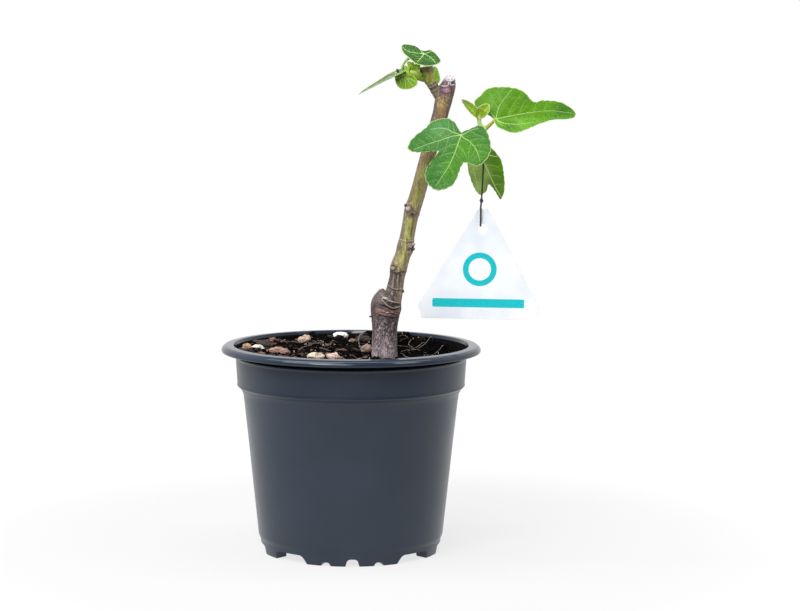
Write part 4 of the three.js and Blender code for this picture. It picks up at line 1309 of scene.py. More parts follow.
def scatter_fibres(settings, random, ground):
    """The rootlets that stand out, and loose fibres at random."""
    fibres = Form()
    shades = [srgb(112, 90, 74), srgb(150, 128, 110), srgb(84, 60, 48), srgb(52, 38, 32)]
    runs = [(np.array(start), np.array(end), rise, ROOTLET_WIDTH, srgb(176, 162, 156))
            for start, end, rise in ROOTLETS]
    for _ in range(settings.fibres):
        start = np.array(ground.spot(FIBRE_REACH))
        turn = random.uniform(0, 2 * math.pi)
        end = start + random.uniform(3, 11) * np.array([math.cos(turn), math.sin(turn)])
        if math.hypot(*end) < FIBRE_REACH and off_trunk(*end):
            rise = random.uniform(0.2, 1.4)
            width = random.uniform(*FIBRE_WIDTH)
            runs.append((start, end, rise, width, shades[random.integers(4)]))
    for start, end, rise, width, shade in runs:
        sway = random.uniform(-0.16, 0.16) * np.array([end[1] - start[1], start[0] - end[0]])
        stations = []
        for t in np.linspace(0, 1, 5):
            arch = math.sin(math.pi * t)
            x, y = start + (end - start) * t + sway * arch + random.uniform(-0.3, 0.3, 2)
            z = ground.height(x, y) + (rise * arch + 0.1)
            stations.append((x, y, z, width * (1.1 - 0.5 * t)))
        fibres.add(*plain_limb(stations, 5, 12), shade)
    fibres.build("peat_fibres", [crumbs_finish()], slot="peat")


def finer_copy(node):
    """A node's shape as a mesh of its own, with its edges joined and its faces rounded."""
    source = shown(bpy.data.objects.new(node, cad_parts[node].data.copy()))
    welded = bmesh.new()
    welded.from_mesh(source.data)
    bmesh.ops.remove_doubles(welded, verts=welded.verts, dist=1e-6)
    welded.to_mesh(source.data)
    welded.free()
    finer = source.modifiers.new("finer", "SUBSURF")
    finer.subdivision_type, finer.levels, finer.render_levels = "CATMULL_CLARK", 3, 3
    return baked(source, node)


def build_chip(node, colour, roughness, swell, finish, slot):
    """A stone or chip grown out of its plain node: rounder, then broken up, with painted shade in its
    hollows.
    """
    mesh = finer_copy(node)
    points = np.array([vert.co for vert in mesh.vertices]) / MM
    out = unit(points - points.mean(0))
    size = np.ptp(points, axis=0).min()
    grain = (0.5, 0.5, 0.16) if slot == "bark_chip" else (0.36, 0.36, 0.36)
    lumps = fractal(points / (size * np.array(grain)) + len(node), 4, len(node))
    grown = points + out * ((swell + roughness * 0.11 * lumps[:, None]) * size)
    mesh.vertices.foreach_set("co", (grown * MM).ravel())
    # painted shade: the colour darkens to about a third in the hollows between the lumps
    hollow_shade = smoothstep(0.1, -0.7, lumps)
    paint_points(mesh, layered(colour, points.shape, [(np.array(colour) * 0.35, hollow_shade)]))
    mesh.materials.clear()
    mesh.materials.append(finish)
    mesh.shade_smooth()
    place(shown(bpy.data.objects.new(node + "_worn", mesh)), node)


def build_chips():
    """All stones, bark chips and clods on the soil."""
    stone, chip, crumb = stone_finish(), chip_finish(), crumbs_finish()
    white = ("cream", "white", "pink")
    for node, looks in STONES.items():
        slot = "white_stone" if node.split("_")[1] in white else "tan_stone"
        build_chip(node, *looks, stone, slot)
    for node, looks in BARK_CHIPS.items():
        build_chip(node, *looks, chip, "bark_chip")
    for node, looks in CLODS.items():
        build_chip(node, *looks, crumb, "peat")


# ---- bark


def lump_rise(middle, outward, radius, mark):
    """How far a lump stands out of a limb, seen from the limb's middle line."""
    half = np.array(mark.half)
    start = (middle - mark.at) / half
    ray = outward / half
    a = (ray**2).sum(-1)
    b = (start * ray).sum(-1)
    met = b**2 - a * ((start**2).sum(-1) - 1)
    reach = (np.sqrt(np.maximum(met, 0)) - b) / a
    return np.where(met > 0, np.maximum(reach - radius, 0), 0) * mark.lift


def dress_limb(rings, outward, middle, radius, colour, marks, strokes):
    """Adds lumps, rings and creases to a limb, and paints them, with painted shade round the raised
    lumps and beside each stroke; gives rings and colours.
    """
    centre, girth = middle[:, None], radius[:, None]
    rise = np.zeros(rings.shape[:2])
    rough = noise(rings / 0.8, 61)
    for mark in marks:
        rise = np.maximum(rise, lump_rise(centre, outward, girth, mark) * (1 + 0.2 * rough))
    shaped = rings + outward * rise[..., None]
    for mark in marks:
        near = np.linalg.norm((shaped - mark.at) / mark.half, axis=-1) * (1 + 0.14 * rough)
        reach = 1.2 if mark.lift else 1
        # painted shade: a dark halo round each raised lump, deeper the further it stands out
        colour = mixed(colour, DARK_BARK, smoothstep(reach + 0.9, reach, near) * 0.4 * mark.lift)
        colour = mixed(colour, mark.edge, smoothstep(reach + mark.soft, reach, near) * 0.8)
        inner = smoothstep(reach - 0.1, reach - 0.1 - mark.soft, near)
        colour = mixed(colour, np.array(mark.colour) * (0.86 + 0.2 * rough)[..., None], inner)
    front = smoothstep(-0.2, 0.35, -outward[..., 1])
    for stroke in strokes:
        near = nearest(shaped[..., ::2], spline(stroke.through, 60)) * (1 + 0.25 * rough)
        mask = bell(near, 0, stroke.width) * front
        shaped = shaped + outward * (stroke.rise * mask)[..., None]
        patchy = stroke.strength * (0.85 + 0.3 * rough)
        colour = mixed(colour, stroke.colour, (mask * patchy).clip(0, 1))
        # painted shade: a dark band on either side of each stroke
        shade = bell(near, 2 * stroke.width, stroke.width) * front
        colour = mixed(colour, DARK_BARK, shade * 0.35 * stroke.strength)
    return shaped, colour


def streaks(rings, size, seed, length):
    """Noise drawn out along an upright limb."""
    return fractal(rings / (size, size, size * length), 4, seed)


def stub_bark(rings, outward, angle):
    """The old cut stem: fissured grey bark, pale at its left edge near the ground."""
    height, side = rings[..., 2], np.sin(angle)[None]
    furrow = streaks(rings, 1.1, 21, 7)
    fine = fractal(rings / (0.5, 0.5, 0.7), 2, 4)
    rough = 0.22 * (0.4 - np.abs(furrow)) + 0.16 * fractal(rings / 0.7, 3, 5)
    return rings + outward * rough[..., None], layered(MAUVE_BARK, rings.shape, [
        (srgb(160, 144, 152), smoothstep(117, 107, height) * 0.85),
        (srgb(84, 68, 72), bell(height, 122, 4) * 0.7),
        (DARK_BARK, smoothstep(0.1, -0.7, furrow) * 0.4),
        (srgb(214, 200, 204), smoothstep(0.12, 0.55, fine) * 0.6),
        (srgb(52, 40, 42), smoothstep(-0.1, -0.55, fine) * 0.55),
        (srgb(76, 62, 60), smoothstep(-0.55, -0.9, side) * smoothstep(108, 114, height) * 0.6),
        (srgb(176, 150, 122), smoothstep(-0.95, -1, side) * smoothstep(120, 112, height) * 0.6),
        (srgb(78, 66, 64), smoothstep(128, 133, height) * 0.75),
        (srgb(60, 50, 48), smoothstep(106.5, 104, height) * 0.6),
    ])


def shoot_bark(rings, outward, angle):
    """The young stem: green and yellow below, brown higher up, purple and waxed at the cut; a painted
    highlight runs down its front low down, and painted shade darkens its sides higher up.
    """
    height = rings[..., 2]
    side = np.broadcast_to(np.sin(angle), height.shape)
    grain, patchy = streaks(rings, 0.9, 8, 8), streaks(rings, 3.4, 12, 3)
    calm = bell(height, 198, 9)
    fine = streaks(rings, 0.5, 18, 4) * (1 - 0.6 * calm)
    rings = rings + outward * (0.08 * grain + 0.06 * patchy)[..., None]
    # painted highlight: a pale yellow stripe down the middle of the stem's front and back, below about
    # 165 mm
    front_highlight = smoothstep(169, 164, height) * smoothstep(0.4, -0.1, np.abs(side))
    right = smoothstep(0.25, 0.75, side + 0.2 * patchy) * smoothstep(205, 196, height)
    left = smoothstep(-0.15, -0.7, side + 0.3 * patchy)
    low = smoothstep(153, 150.5, height + patchy)
    upper = mixed(np.array(srgb(130, 116, 70)), BROWN_BARK, smoothstep(222, 234, height))
    orange = smoothstep(222, 232, height) * smoothstep(0.9, 0.1, np.abs(side - 0.05))
    gold = np.linalg.norm((rings - (47.4, -4.2, 241)) / (2.4, 3, 3.6), axis=-1)
    # painted shade: the stem darkens towards both its sides from 208 mm up
    edges = smoothstep(0.45, 0.95, np.abs(side)) * smoothstep(208, 222, height)
    purple = smoothstep(244.6, 247.4, height + 1.4 * patchy)
    colour = layered(GREEN_BARK, rings.shape, [
        (OLIVE_BARK, smoothstep(-0.1, 0.6, patchy) * 0.4),
        (srgb(186, 186, 110), smoothstep(-0.1, -0.7, patchy) * 0.45),
        (srgb(206, 200, 120), front_highlight * 0.75),
        (srgb(110, 98, 40), calm * 0.75),
        (srgb(152, 134, 106), right * 0.85),
        (srgb(106, 88, 82), left * band(height, 152, 156, 205, 214) * 0.9 * (1 - 0.5 * calm)),
        (srgb(148, 122, 98), bell(height, 154.5, 2.6) * 0.6),
        (srgb(64, 54, 52), low),
        (srgb(160, 142, 112), low * smoothstep(0.1, 0.7, side) * 0.7),
        (srgb(96, 66, 40), bell(side, 0.45, 0.13) * band(height, 169, 172, 180, 183) * 0.8),
        (upper, smoothstep(200, 214, height + 3 * patchy + 7 * left)),
        (ORANGE_BARK, orange * (0.75 + 0.35 * patchy.clip(-1, 1))),
        (srgb(206, 182, 112), bell(gold, 0, 1) * 0.5),
        (srgb(84, 62, 62), edges * 0.75),
        (PURPLE_BARK, purple * 0.95),
        (srgb(74, 44, 56), purple * smoothstep(0, 0.6, fine) * 0.7),
        (DARK_BARK, smoothstep(0.05, -0.7, grain) * 0.45),
        (srgb(208, 194, 160), smoothstep(0.3, 0.9, fine) * 0.4 * (1 - purple)),
    ])
    crust = noise(rings, 40) + smoothstep(251, 255.5, height) * 1.9 - 0.95
    wax = smoothstep(0.05, 0.3, crust) * smoothstep(249.8, 250.6, height)
    rings = rings + outward * (0.3 * wax * (1 + 0.5 * noise(rings / 0.6, 3)))[..., None]
    waxen = np.array(WAX) * (0.86 + 0.22 * noise(rings / 0.9, 9))[..., None]
    return rings, mixed(colour, waxen, wax * 0.95)


def left_bark(rings, outward, angle):
    """The left shoot: green bark with brown rings and a drying tip."""
    height = rings[..., 2]
    side = np.broadcast_to(np.sin(angle), height.shape)
    grain = streaks(rings, 0.8, 33, 4)
    fine = fractal(rings / (0.6, 0.6, 1.4), 3, 51)
    return rings + outward * (0.12 * grain + 0.08 * fine)[..., None], layered(
        srgb(160, 166, 46), rings.shape, [
            (srgb(196, 194, 96), bell(side, 0.5, 0.28) * smoothstep(251, 254, height) * 0.9),
            (BROWN_BARK, smoothstep(254, 251.5, height + grain) * 0.9),
            (srgb(120, 96, 66), smoothstep(257.4, 259.6, height + 1.5 * grain + side) * 0.8),
            (srgb(190, 172, 140), smoothstep(0.35, 0.8, fine) * 0.6),
            (DARK_BARK, smoothstep(0.05, -0.7, grain) * 0.3),
        ])


def right_bark(rings, outward, angle):
    """The right shoot's soft green stem, browner at its root."""
    grain = fractal(rings / (3, 1, 1), 3, 14)
    rings = rings + outward * (0.06 * grain)[..., None]
    return rings, layered(STALK_OLIVE, rings.shape, [
        (BROWN_BARK, smoothstep(54, 48, rings[..., 0])),
        (srgb(92, 92, 34), smoothstep(0.1, -0.8, grain) * 0.5),
    ])


def dressed(stations, sides, steps, bark, marks=(), strokes=()):
    """A limb with its bark, marks and strokes, as tube points, faces and colours."""
    rings, outward, middle, radius, angle = limb(stations, sides, steps)
    rings, colour = bark(rings, outward, angle)
    rings, colour = dress_limb(rings, outward, middle, radius, colour, marks, strokes)
    points, faces = tube(rings)
    paint = np.vstack([colour.reshape(-1, 3), colour[0].mean(0), colour[-1].mean(0)])
    return points, faces, paint


def build_trunk(settings):
    """The old stub and the shoot that grew from its side."""
    trunk = Form()
    trunk.add(*dressed(STUB, 150, 130, stub_bark, TRUNK_MARKS, TRUNK_STROKES))
    trunk.add(*dressed(SHOOT, 96, 460, shoot_bark, TRUNK_MARKS, TRUNK_STROKES))
    trunk.build("trunk_bark", [bark_finish(settings)], "trunk", "bark")


def build_boughs(settings):
    """The two short side shoots' woody stems."""
    bark = bark_finish(settings)
    left, right = Form(), Form()
    left.add(*dressed(BOUGH_LEFT, 72, 80, left_bark, (), LEFT_STROKES))
    left.build("bough_left_bark", [bark], "bough_left", "green_bark")
    right.add(*dressed(BOUGH_RIGHT, 56, 120, right_bark))
    right.build("bough_right_bark", [bark], "bough_right", "green_bark")


# ---- leaves

VEIN_STEP = 0.4  # distance between a vein's points
VEINS_END = 0.93  # share of the way to the rim
SIDE_VEIN_TURN = 1.15  # radians away from the main vein
NET_WIDTH = 0.07
NET_STEPS = 14
FINE_VEIN = 0.08  # a vein thinner than this shows on the upper side alone
NET_FROM = 20  # length of the smallest leaf with a net
NOWHERE = [[99, 99]]  # a place that no vein reaches
RIB = [  # a ridge's section, as shares of its half width and of its height
    (-1, -0.6), (-0.62, 0.7), (0, 1), (0.62, 0.7), (1, -0.6),
]
RIM_STEPS = 110  # points of the rim along a leaf's length
TOOTH_SPACING = 0.11  # share of the leaf's length

def reach_of(plan):
    """How far points of a plan lie from its origin."""
    return np.hypot(plan[..., 0], plan[..., 1])


def turn_of(plan):
    """The angle at which points of a plan lie."""
    return np.arctan2(plan[..., 1], plan[..., 0])


def plan_points(route):
    """Points of a leaf's plan from pairs of degrees and reach."""
    turn, reach = np.transpose(route)
    return polar(np.radians(turn), reach)


class Blade:
    """A leaf's bent sheet: where a point of its plan lies in space."""

    thick = 0.16  # half the thickness away from the rim
    finest = 0.17  # least distance between the rim's points

    def __init__(self, leaf, seed):
        self.leaf, self.seed = leaf, seed
        self.origin = np.array(leaf.at, float)
        reach = np.array(leaf.tip) - self.origin
        self.length = np.linalg.norm(reach)
        self.along = reach / self.length
        self.across = unit(np.cross(leaf.face, self.along))
        self.out = np.cross(self.along, self.across)
        spacing = max(self.length / RIM_STEPS, self.finest)
        self.rim = self.toothed(even(spline(plan_points(leaf.rim), 1500, True), spacing, True))
        order = np.argsort(turn_of(self.rim))
        self.turns, self.reaches = turn_of(self.rim)[order], reach_of(self.rim)[order]

    def toothed(self, rim):
        """The rim with small rounded teeth, pushed out along its normal."""
        ahead = unit(np.roll(rim, -2, 0) - np.roll(rim, 2, 0))
        area = (rim[:, 0] * np.roll(rim[:, 1], -1) - np.roll(rim[:, 0], -1) * rim[:, 1]).sum()
        out = np.stack([ahead[:, 1], -ahead[:, 0]], axis=1) * np.sign(area)
        run = np.cumsum(np.linalg.norm(rim - np.roll(rim, 1, 0), axis=1))
        count = max(6, round(run[-1] / (TOOTH_SPACING * self.length)))
        warp = 0.35 * np.sin(2 * np.pi * run / run[-1] * 5 + self.seed)
        wave = np.abs(np.sin(np.pi * (run / run[-1] * count + warp))) ** 0.7
        return rim + out * (self.leaf.tooth * (wave - 0.6))[:, None]

    def share(self, plan):
        """How far out a point lies, from 0 at the foot to 1 at the rim."""
        reach = np.interp(turn_of(plan), self.turns, self.reaches, period=2 * np.pi)
        return reach_of(plan) / np.maximum(reach, 0.1)

    def half(self, plan):
        """Half the sheet's thickness, which thins out at the rim."""
        return self.thick * (1 - 0.55 * smoothstep(0.9, 1, self.share(plan)))

    def pucker(self, distance):
        """How far the sheet rises between its veins, on both faces alike."""
        return self.leaf.quilt * (1 - bell(distance, 0, 0.05 * self.length + 0.4))

    def put(self, plan, rise):
        """Points of the plan laid on the bent sheet, raised by rise."""
        leaf, x, y = self.leaf, plan[..., 0], plan[..., 1]
        lift = (leaf.cup * (x**2 + y**2) / self.length + leaf.fold * (np.hypot(y, 1) - 1)
                - leaf.droop * x * np.abs(x) / self.length)
        where = spatial(x, y, self.seed * 9.0)
        ripple = leaf.wave * noise(where / 7) * smoothstep(0.3, 1, self.share(plan))
        total = (lift + ripple + rise)[..., None]
        return (self.origin + self.along * x[..., None] + self.across * y[..., None]
                + self.out * total)

    def rings(self):
        """The plan's points from the foot to the rim: rings, closer together near the rim."""
        inner = np.linspace(0.02, 0.93, max(14, int(self.length * 1.5)))
        shares = np.concatenate([inner, [0.955, 0.975, 0.99, 1]])
        return shares[:, None, None] * self.rim[None]


def walk(blade, start, heading, bend, steps, stop, gap):
    """A vein that leaves a point, bends as it goes, and ends near the rim or a stop point."""
    line = [np.array(start, float)]
    for step in range(steps):
        heading += bend
        ahead = line[-1] + VEIN_STEP * np.array([math.cos(heading), math.sin(heading)])
        if blade.share(ahead) > VEINS_END:
            break
        line.append(ahead)
        if step > 1 and reach_of(stop - ahead).min() < gap:
            break
    return np.array(line)


def main_veins(blade):
    """The main veins, then the side veins that leave them, each with its widest half width."""
    leaf = blade.leaf
    mains = [even(spline(np.vstack([[0, 0], plan_points(main.route)]), 80), 0.35)
             for main in leaf.mains]
    sides = []
    for index, (main, line) in enumerate(zip(leaf.mains, mains)):
        others = np.vstack(mains[:index] + mains[index + 1:] or [NOWHERE])
        heading, run = turn_of(np.gradient(line, axis=0)), reach_of(line)
        for sign, reaches in ((1, main.plus), (-1, main.minus)):
            for reach in reaches:
                at = int(np.argmin(np.abs(run - reach)))
                left = 1 - at / len(line)
                steps = int((0.1 + 0.24 * left) * blade.length / VEIN_STEP)
                turn = heading[at] + sign * SIDE_VEIN_TURN
                side = walk(blade, line[at], turn, -sign * 0.02, steps, others, gap=0.9)
                if len(side) > 3:
                    sides.append((side, leaf.vein * (0.3 + 0.2 * left)))
    return [(line, leaf.vein) for line in mains], sides


def net_veins(blade, veins, random):
    """Fine cross veins that run from one side vein towards the next."""
    everything = np.vstack([line for line, _ in veins])
    net = []
    for line, _ in veins:
        line = even(line, max(1.1, blade.length * 0.06))
        heading = turn_of(np.gradient(line, axis=0))
        for k in range(1, len(line)):
            turn = heading[k] + (1 if k % 2 else -1) * random.uniform(1.1, 1.5)
            bend = random.uniform(-0.05, 0.05)
            cross = walk(blade, line[k], turn, bend, NET_STEPS, everything, gap=0.3)
            if len(cross) > 4:
                net.append((cross, NET_WIDTH))
    return net


def rib(blade, line, width, side, height):
    """A tapering ridge on the sheet, five points across, as points, faces and plan."""
    count = len(line)
    taper = np.linspace(1, 0.35, count)[:, None] * width
    ahead = np.gradient(line, axis=0)
    left = unit(np.stack([-ahead[:, 1], ahead[:, 0]], axis=1))
    spread, profile = np.transpose(RIB)
    plan = line[:, None] + left[:, None] * (spread[None, :, None] * taper[..., None])
    rise = side * (blade.half(plan) + blade.pucker(np.abs(spread)[None] * taper) * side
                   + profile[None] * height * taper / width)
    points = blade.put(plan, rise)
    if side > 0:
        points, plan = points[:, ::-1], plan[:, ::-1]
    across = len(RIB)
    row, column = np.meshgrid(np.arange(count - 1), np.arange(across - 1), indexing="ij")
    here = row * across + column
    faces = np.stack([here + across, here + across + 1, here + 1, here], axis=-1).reshape(-1, 4)
    return points.reshape(-1, 3), [faces], plan.reshape(-1, 2)


def leaf_paint(blade, plan, near, side):
    """Colours of a leaf's face: the blade, its patches, some of them painted light and sheen, the
    veins' pale seams and the rim.
    """
    leaf, patches = blade.leaf, []
    for patch in leaf.patches if side > 0 else ():
        far = reach_of(plan - polar(math.radians(patch.turn), patch.reach))
        patches.append((patch.colour, patch.strength * bell(far, 0, patch.size)))
    colour = layered(leaf.colour if side > 0 else leaf.back, (*plan.shape[:-1], 3), patches)
    cloud = fractal(spatial(plan[..., 0], plan[..., 1], 5.0) / 4, 3, blade.seed)
    edge = smoothstep(0.5, 0.12, (1 - blade.share(plan)) * reach_of(plan))
    return layered(colour * (1 + 0.12 * cloud)[..., None], colour.shape, [
        (PALE_VEIN, 0.08 * bell(near, 0, 0.4)), (RIM_PALE, edge * leaf.margin)])


def add_leaf(form, leaf, seed, random):
    """One leaf: its two faces, the ribs on them and the fine net."""
    blade = Blade(leaf, seed)
    mains, sides = main_veins(blade)
    veins = mains + sides
    plan = blade.rings()
    near = nearest(plan, np.vstack([line for line, _ in veins]))
    behind, front = (blade.put(plan, blade.pucker(near) + side * blade.half(plan))
                     for side in (-1, 1))
    order = 1 if np.cross(blade.rim, np.roll(blade.rim, -1, 0)).sum() > 0 else -1
    points, shell = tube(np.concatenate([behind, front[::-1]])[:, ::order])
    back, face = (leaf_paint(blade, plan, near, side) for side in (-1, 1))
    paint = np.concatenate([back, face[::-1]])[:, ::order]
    paint = np.vstack([paint.reshape(-1, 3), paint[0, 0], paint[-1, 0]])
    flat = np.concatenate([plan, plan[::-1]])[:, ::order].reshape(-1, 2)
    apart = seed * 60  # keeps the patterns of two leaves different
    flat = np.vstack([flat, [0, 0], [0, 0]]) * leaf.grain + apart
    form.add(points, shell, paint, flat=flat)
    looks = ((1, leaf.colour, leaf.vein_colour, 0.2), (-1, leaf.back, VEIN_BEHIND, 0.7))
    net = net_veins(blade, veins, random) if sides and blade.length > NET_FROM else []
    for line, width in veins + net:
        fine = width < FINE_VEIN
        for side, colour, seam, bulge in looks[:1] if fine else looks:
            height = 0.03 if fine else bulge * width + 0.02
            points, ribs, flat = rib(blade, line, width, side, height)
            share = 0.12 if fine else 0.95 * (width / leaf.vein) ** 0.75
            pale = mixed(np.array(colour), seam, share)
            form.add(points, ribs, pale, flat=flat * leaf.grain + apart)


def add_stalk(form, stalk):
    """One stalk or bud, coloured from its root to its tip."""
    rings = limb(stalk.stations, 20, 40)[0]
    points, faces = tube(rings)
    share = np.append(np.repeat(np.linspace(0, 1, len(rings)), rings.shape[1]), [0, 1])
    form.add(points, faces, layered(stalk.root, points.shape, [(stalk.tip, share)]), finish=1)


def build_leaves(settings):
    """Every mass of leaves, with its stalks and buds."""
    finishes = [leaf_finish(settings), stalk_finish()]
    random = np.random.default_rng(5)
    seed = 0
    for mass in MASSES:
        form = Form()
        for leaf in mass.leaves:
            seed += 1
            add_leaf(form, leaf, seed, random)
        for stalk in mass.stalks:
            add_stalk(form, stalk)
        form.build(mass.node + "_grown", finishes, mass.node, "leaf")


# ---- label and thread


def flat_shape(name, outlines, thickness, rounding, finish, node=None, shift=0.0):
    """A thin plate with holes, cut to outlines round the label's hole, hung as the label is."""
    curve = bpy.data.curves.new(name, "CURVE")
    curve.dimensions, curve.fill_mode = "2D", "BOTH"
    curve.extrude = (thickness / 2 - rounding) * MM
    curve.bevel_depth, curve.bevel_resolution = rounding * MM, 2
    for outline in outlines:
        line = curve.splines.new("POLY")
        line.points.add(len(outline) - 1)
        for point, (x, y) in zip(line.points, outline):
            point.co = (x * MM, y * MM, 0, 1)
        line.use_cyclic_u = True
    mesh = baked(shown(bpy.data.objects.new(name, curve)), name)
    hang = (Matrix.Translation(Vector(TAG_HOLE) * MM)
            @ Matrix.Rotation(math.radians(TAG_TURN), 4, "Y")
            @ Matrix.Translation((0, shift * MM, 0)) @ Matrix.Rotation(math.pi / 2, 4, "X"))
    mesh.transform(hang)
    mesh.materials.clear()
    mesh.materials.append(finish)
    mesh.shade_smooth()
    mesh.set_sharp_from_angle(angle=math.radians(30))
    place(shown(bpy.data.objects.new(name, mesh)), node)


def circle(middle, radius):
    """A round outline."""
    return np.add(middle, polar(round_turns(64), radius))


def build_label(settings):
    """The card and the plain print on both its faces."""
    flat_shape("label_card", [rounded(TAG_OUTLINE), circle((0, 0), TAG_HOLE_RADIUS)],
               TAG_THICKNESS, 0.1, card_finish(settings), "label")
    ink = print_finish(settings)
    (x, y), (wide, high) = TAG_BAND["middle"], TAG_BAND["half"]
    band = rounded([(x + wide * right, y + high * up, 0.8)
                    for right, up in ((-1, -1), (1, -1), (1, 1), (-1, 1))])
    ring = [circle(TAG_DISC["middle"], TAG_DISC[size]) for size in ("radius", "hole")]
    for side, name in ((-1, "front"), (1, "back")):
        shift = side * (TAG_THICKNESS / 2 + 0.01)
        for shape, outlines in (("band", [band]), ("ring", ring)):
            flat_shape(f"print_{shape}_{name}", outlines, PRINT_THICKNESS, 0.01, ink, shift=shift)


def twisted(form, stations):
    """Two strands laid round each other along a line."""
    step = THREAD_TWIST["step"]
    line = even(spline(stations, 400), step)
    steps = len(line) - 1
    middle, _, _, across, other = limb_frames([(*point, 1) for point in line], steps)
    turn = 2 * np.pi * np.arange(steps + 1) * step / THREAD_TWIST["pitch"]
    for phase in (0, np.pi):
        offset = across * np.cos(turn + phase)[:, None] + other * np.sin(turn + phase)[:, None]
        strand = middle + offset * THREAD_RADIUS * STRAND_OFFSET
        radius = THREAD_RADIUS * STRAND_RADIUS
        form.add(*plain_limb([(*point, radius) for point in strand], 8, steps))


def build_thread():
    """The black thread: a turn round the shoot, a strand and a loop through the label's hole."""
    form = Form()
    along = unit(np.subtract(BOUGH_RIGHT[-1][:3], BOUGH_RIGHT[-3][:3]))
    across = unit(np.cross(along, (0, 1, 0)))
    other = np.cross(along, across)
    turn = np.linspace(0, 2 * np.pi, 25)[:, None]
    ring = THREAD_RING["at"] + THREAD_RING["radius"] * (across * np.cos(turn) + other * np.sin(turn))
    for line in (ring, THREAD_STRAND, THREAD_LOOP):
        twisted(form, line)
    points, faces = ball(3)
    lumps = 1 + 0.18 * noise(points * 2.2, 3)[:, None]
    for knot in (THREAD_STRAND[-1], THREAD_STRAND[0]):
        form.add(points * lumps * (0.95, 0.95, 1.15) + knot, [faces])
    form.build("thread_twisted", [thread_finish()], "label_thread", "thread")


# ---- studio

CAMERA_AT = (26.2, -1250, 268)
CAMERA_DOWN = 6.17  # degrees
CAMERA_ROLL = 0.3  # degrees
CAMERA_LENS = 104.94
CAMERA_SENSOR = 36
CAMERA_SEES = 100  # metres
FLOOR_RADIUS = 400
FLOOR_SIDES = 64
SOFTBOXES = {  # place, what it faces, width and height in metres, and share of the power
    "key": ((-0.55, -0.5, 1.25), (0, 0, 0.15), 0.9, 0.9, 0.9),
    "strip": ((-0.1, 0.06, 1.2), (-0.1, 0.06, 0.15), 2.4, 0.12, 0.8),
    "fill": ((-0.45, -1.35, 1.15), (0, 0, 0.15), 1, 0.7, 1.8),
    "side": ((0.7, -0.41, 0.91), (0, 0, 0.15), 0.36, 0.36, 0.14),
}


def light_surroundings(settings):
    """A white room that is darker on the viewer's side; its walls themselves look white."""
    world = bpy.data.worlds.new("studio")
    bpy.context.scene.world = world
    room = Nodes(world)
    towards = room.node("ShaderNodeTexCoord", output="Generated")
    behind, above = room.part(towards, "Y"), room.part(towards, "Z")
    white = room.clamp(behind, -0.55, 0.35) * (1 - room.clamp(above, 0.5, 0.85) * 0.75)
    glow = white * (1 - settings.front_light) + settings.front_light
    seen = room.node("ShaderNodeLightPath", output="Is Camera Ray")
    sky = room.nodes["Background"]
    room.join(sky.inputs["Color"], (1, 1, 1))
    room.join(sky.inputs["Strength"], glow * settings.surround * (1 - seen) + seen)


def build_floor(settings):
    """A wide round floor."""
    floor = Form()
    turn = round_turns(FLOOR_SIDES)
    disc = spatial(np.cos(turn), np.sin(turn), 0) * FLOOR_RADIUS
    floor.add(disc, [np.arange(FLOOR_SIDES)[None]])
    floor.make("floor", [floor_finish(settings)])


def hang_softboxes(settings):
    """The soft lights."""
    for name, (at, facing, width, height, share) in SOFTBOXES.items():
        light = bpy.data.lights.new(f"{name}_softbox", "AREA")
        light.shape, light.size, light.size_y = "RECTANGLE", width, height
        light.energy = settings.softbox_power * share
        lamp = shown(bpy.data.objects.new(light.name, light))
        lamp.location = at
        lamp.rotation_euler = (Vector(facing) - Vector(at)).to_track_quat("-Z", "Y").to_euler()


def set_camera():
    """The camera in front of the plant, looking a little down."""
    down, roll = math.radians(CAMERA_DOWN), math.radians(CAMERA_ROLL)
    ahead = Vector((0, math.cos(down), -math.sin(down)))
    level, upright = Vector((1, 0, 0)), Vector((0, math.sin(down), math.cos(down)))
    right = level * math.cos(roll) + upright * math.sin(roll)
    up = upright * math.cos(roll) - level * math.sin(roll)
    camera = shown(bpy.data.objects.new("camera", bpy.data.cameras.new("camera")))
    camera.matrix_world = Matrix((right, up, -ahead)).transposed().to_4x4()
    camera.location = Vector(CAMERA_AT) * MM
    camera.data.lens, camera.data.sensor_width = CAMERA_LENS, CAMERA_SENSOR
    camera.data.clip_end = CAMERA_SEES
    bpy.context.scene.camera = camera


def build_stage(settings):
    """Floor, soft lights, pale surroundings and the camera."""
    build_floor(settings)
    hang_softboxes(settings)
    light_surroundings(settings)
    bpy.context.scene.view_settings.view_transform = "Standard"
    set_camera()


# ---- add-on


def colour_property(name, description, default):
    """A colour that the user may change."""
    return bpy.props.FloatVectorProperty(
        name=name, description=description, default=default, subtype="COLOR", min=0, max=1)


def share_property(name, description, default):
    """A number from 0 to 1 that the user may change."""
    return bpy.props.FloatProperty(
        name=name, description=description, default=default, min=0, max=1, subtype="FACTOR")


def count_property(name, description, default):
    """How many of a thing there are."""
    return bpy.props.IntProperty(name=name, description=description, default=default, min=0)


class PotSettings(bpy.types.PropertyGroup):
    plastic: colour_property("Plastic", "Colour of the pot", (0.018, 0.0285, 0.046))
    plastic_roughness: share_property("Roughness", "Gloss of the pot's plastic", 0.3)


class SoilSettings(bpy.types.PropertyGroup):
    peat: colour_property("Peat", "Colour of the soil", srgb(4, 3, 3))
    crumbs: count_property("Crumbs", "Number of loose crumbs of peat", 1900)
    bits: count_property("Bits", "Number of loose bits of bark", 420)
    specks: count_property("Specks", "Number of white specks of grit", 170)
    fibres: count_property("Fibres", "Number of loose fibres", 230)


class PlantSettings(bpy.types.PropertyGroup):
    bark_roughness: share_property("Bark roughness", "Gloss of the bark", 0.62)
    leaf_roughness: share_property("Leaf roughness", "Gloss of the leaves", 0.56)


class LabelSettings(bpy.types.PropertyGroup):
    card: colour_property("Card", "Colour of the label", srgb(230, 236, 246))
    ink: colour_property("Ink", "Colour of the print on the label", srgb(20, 192, 200))


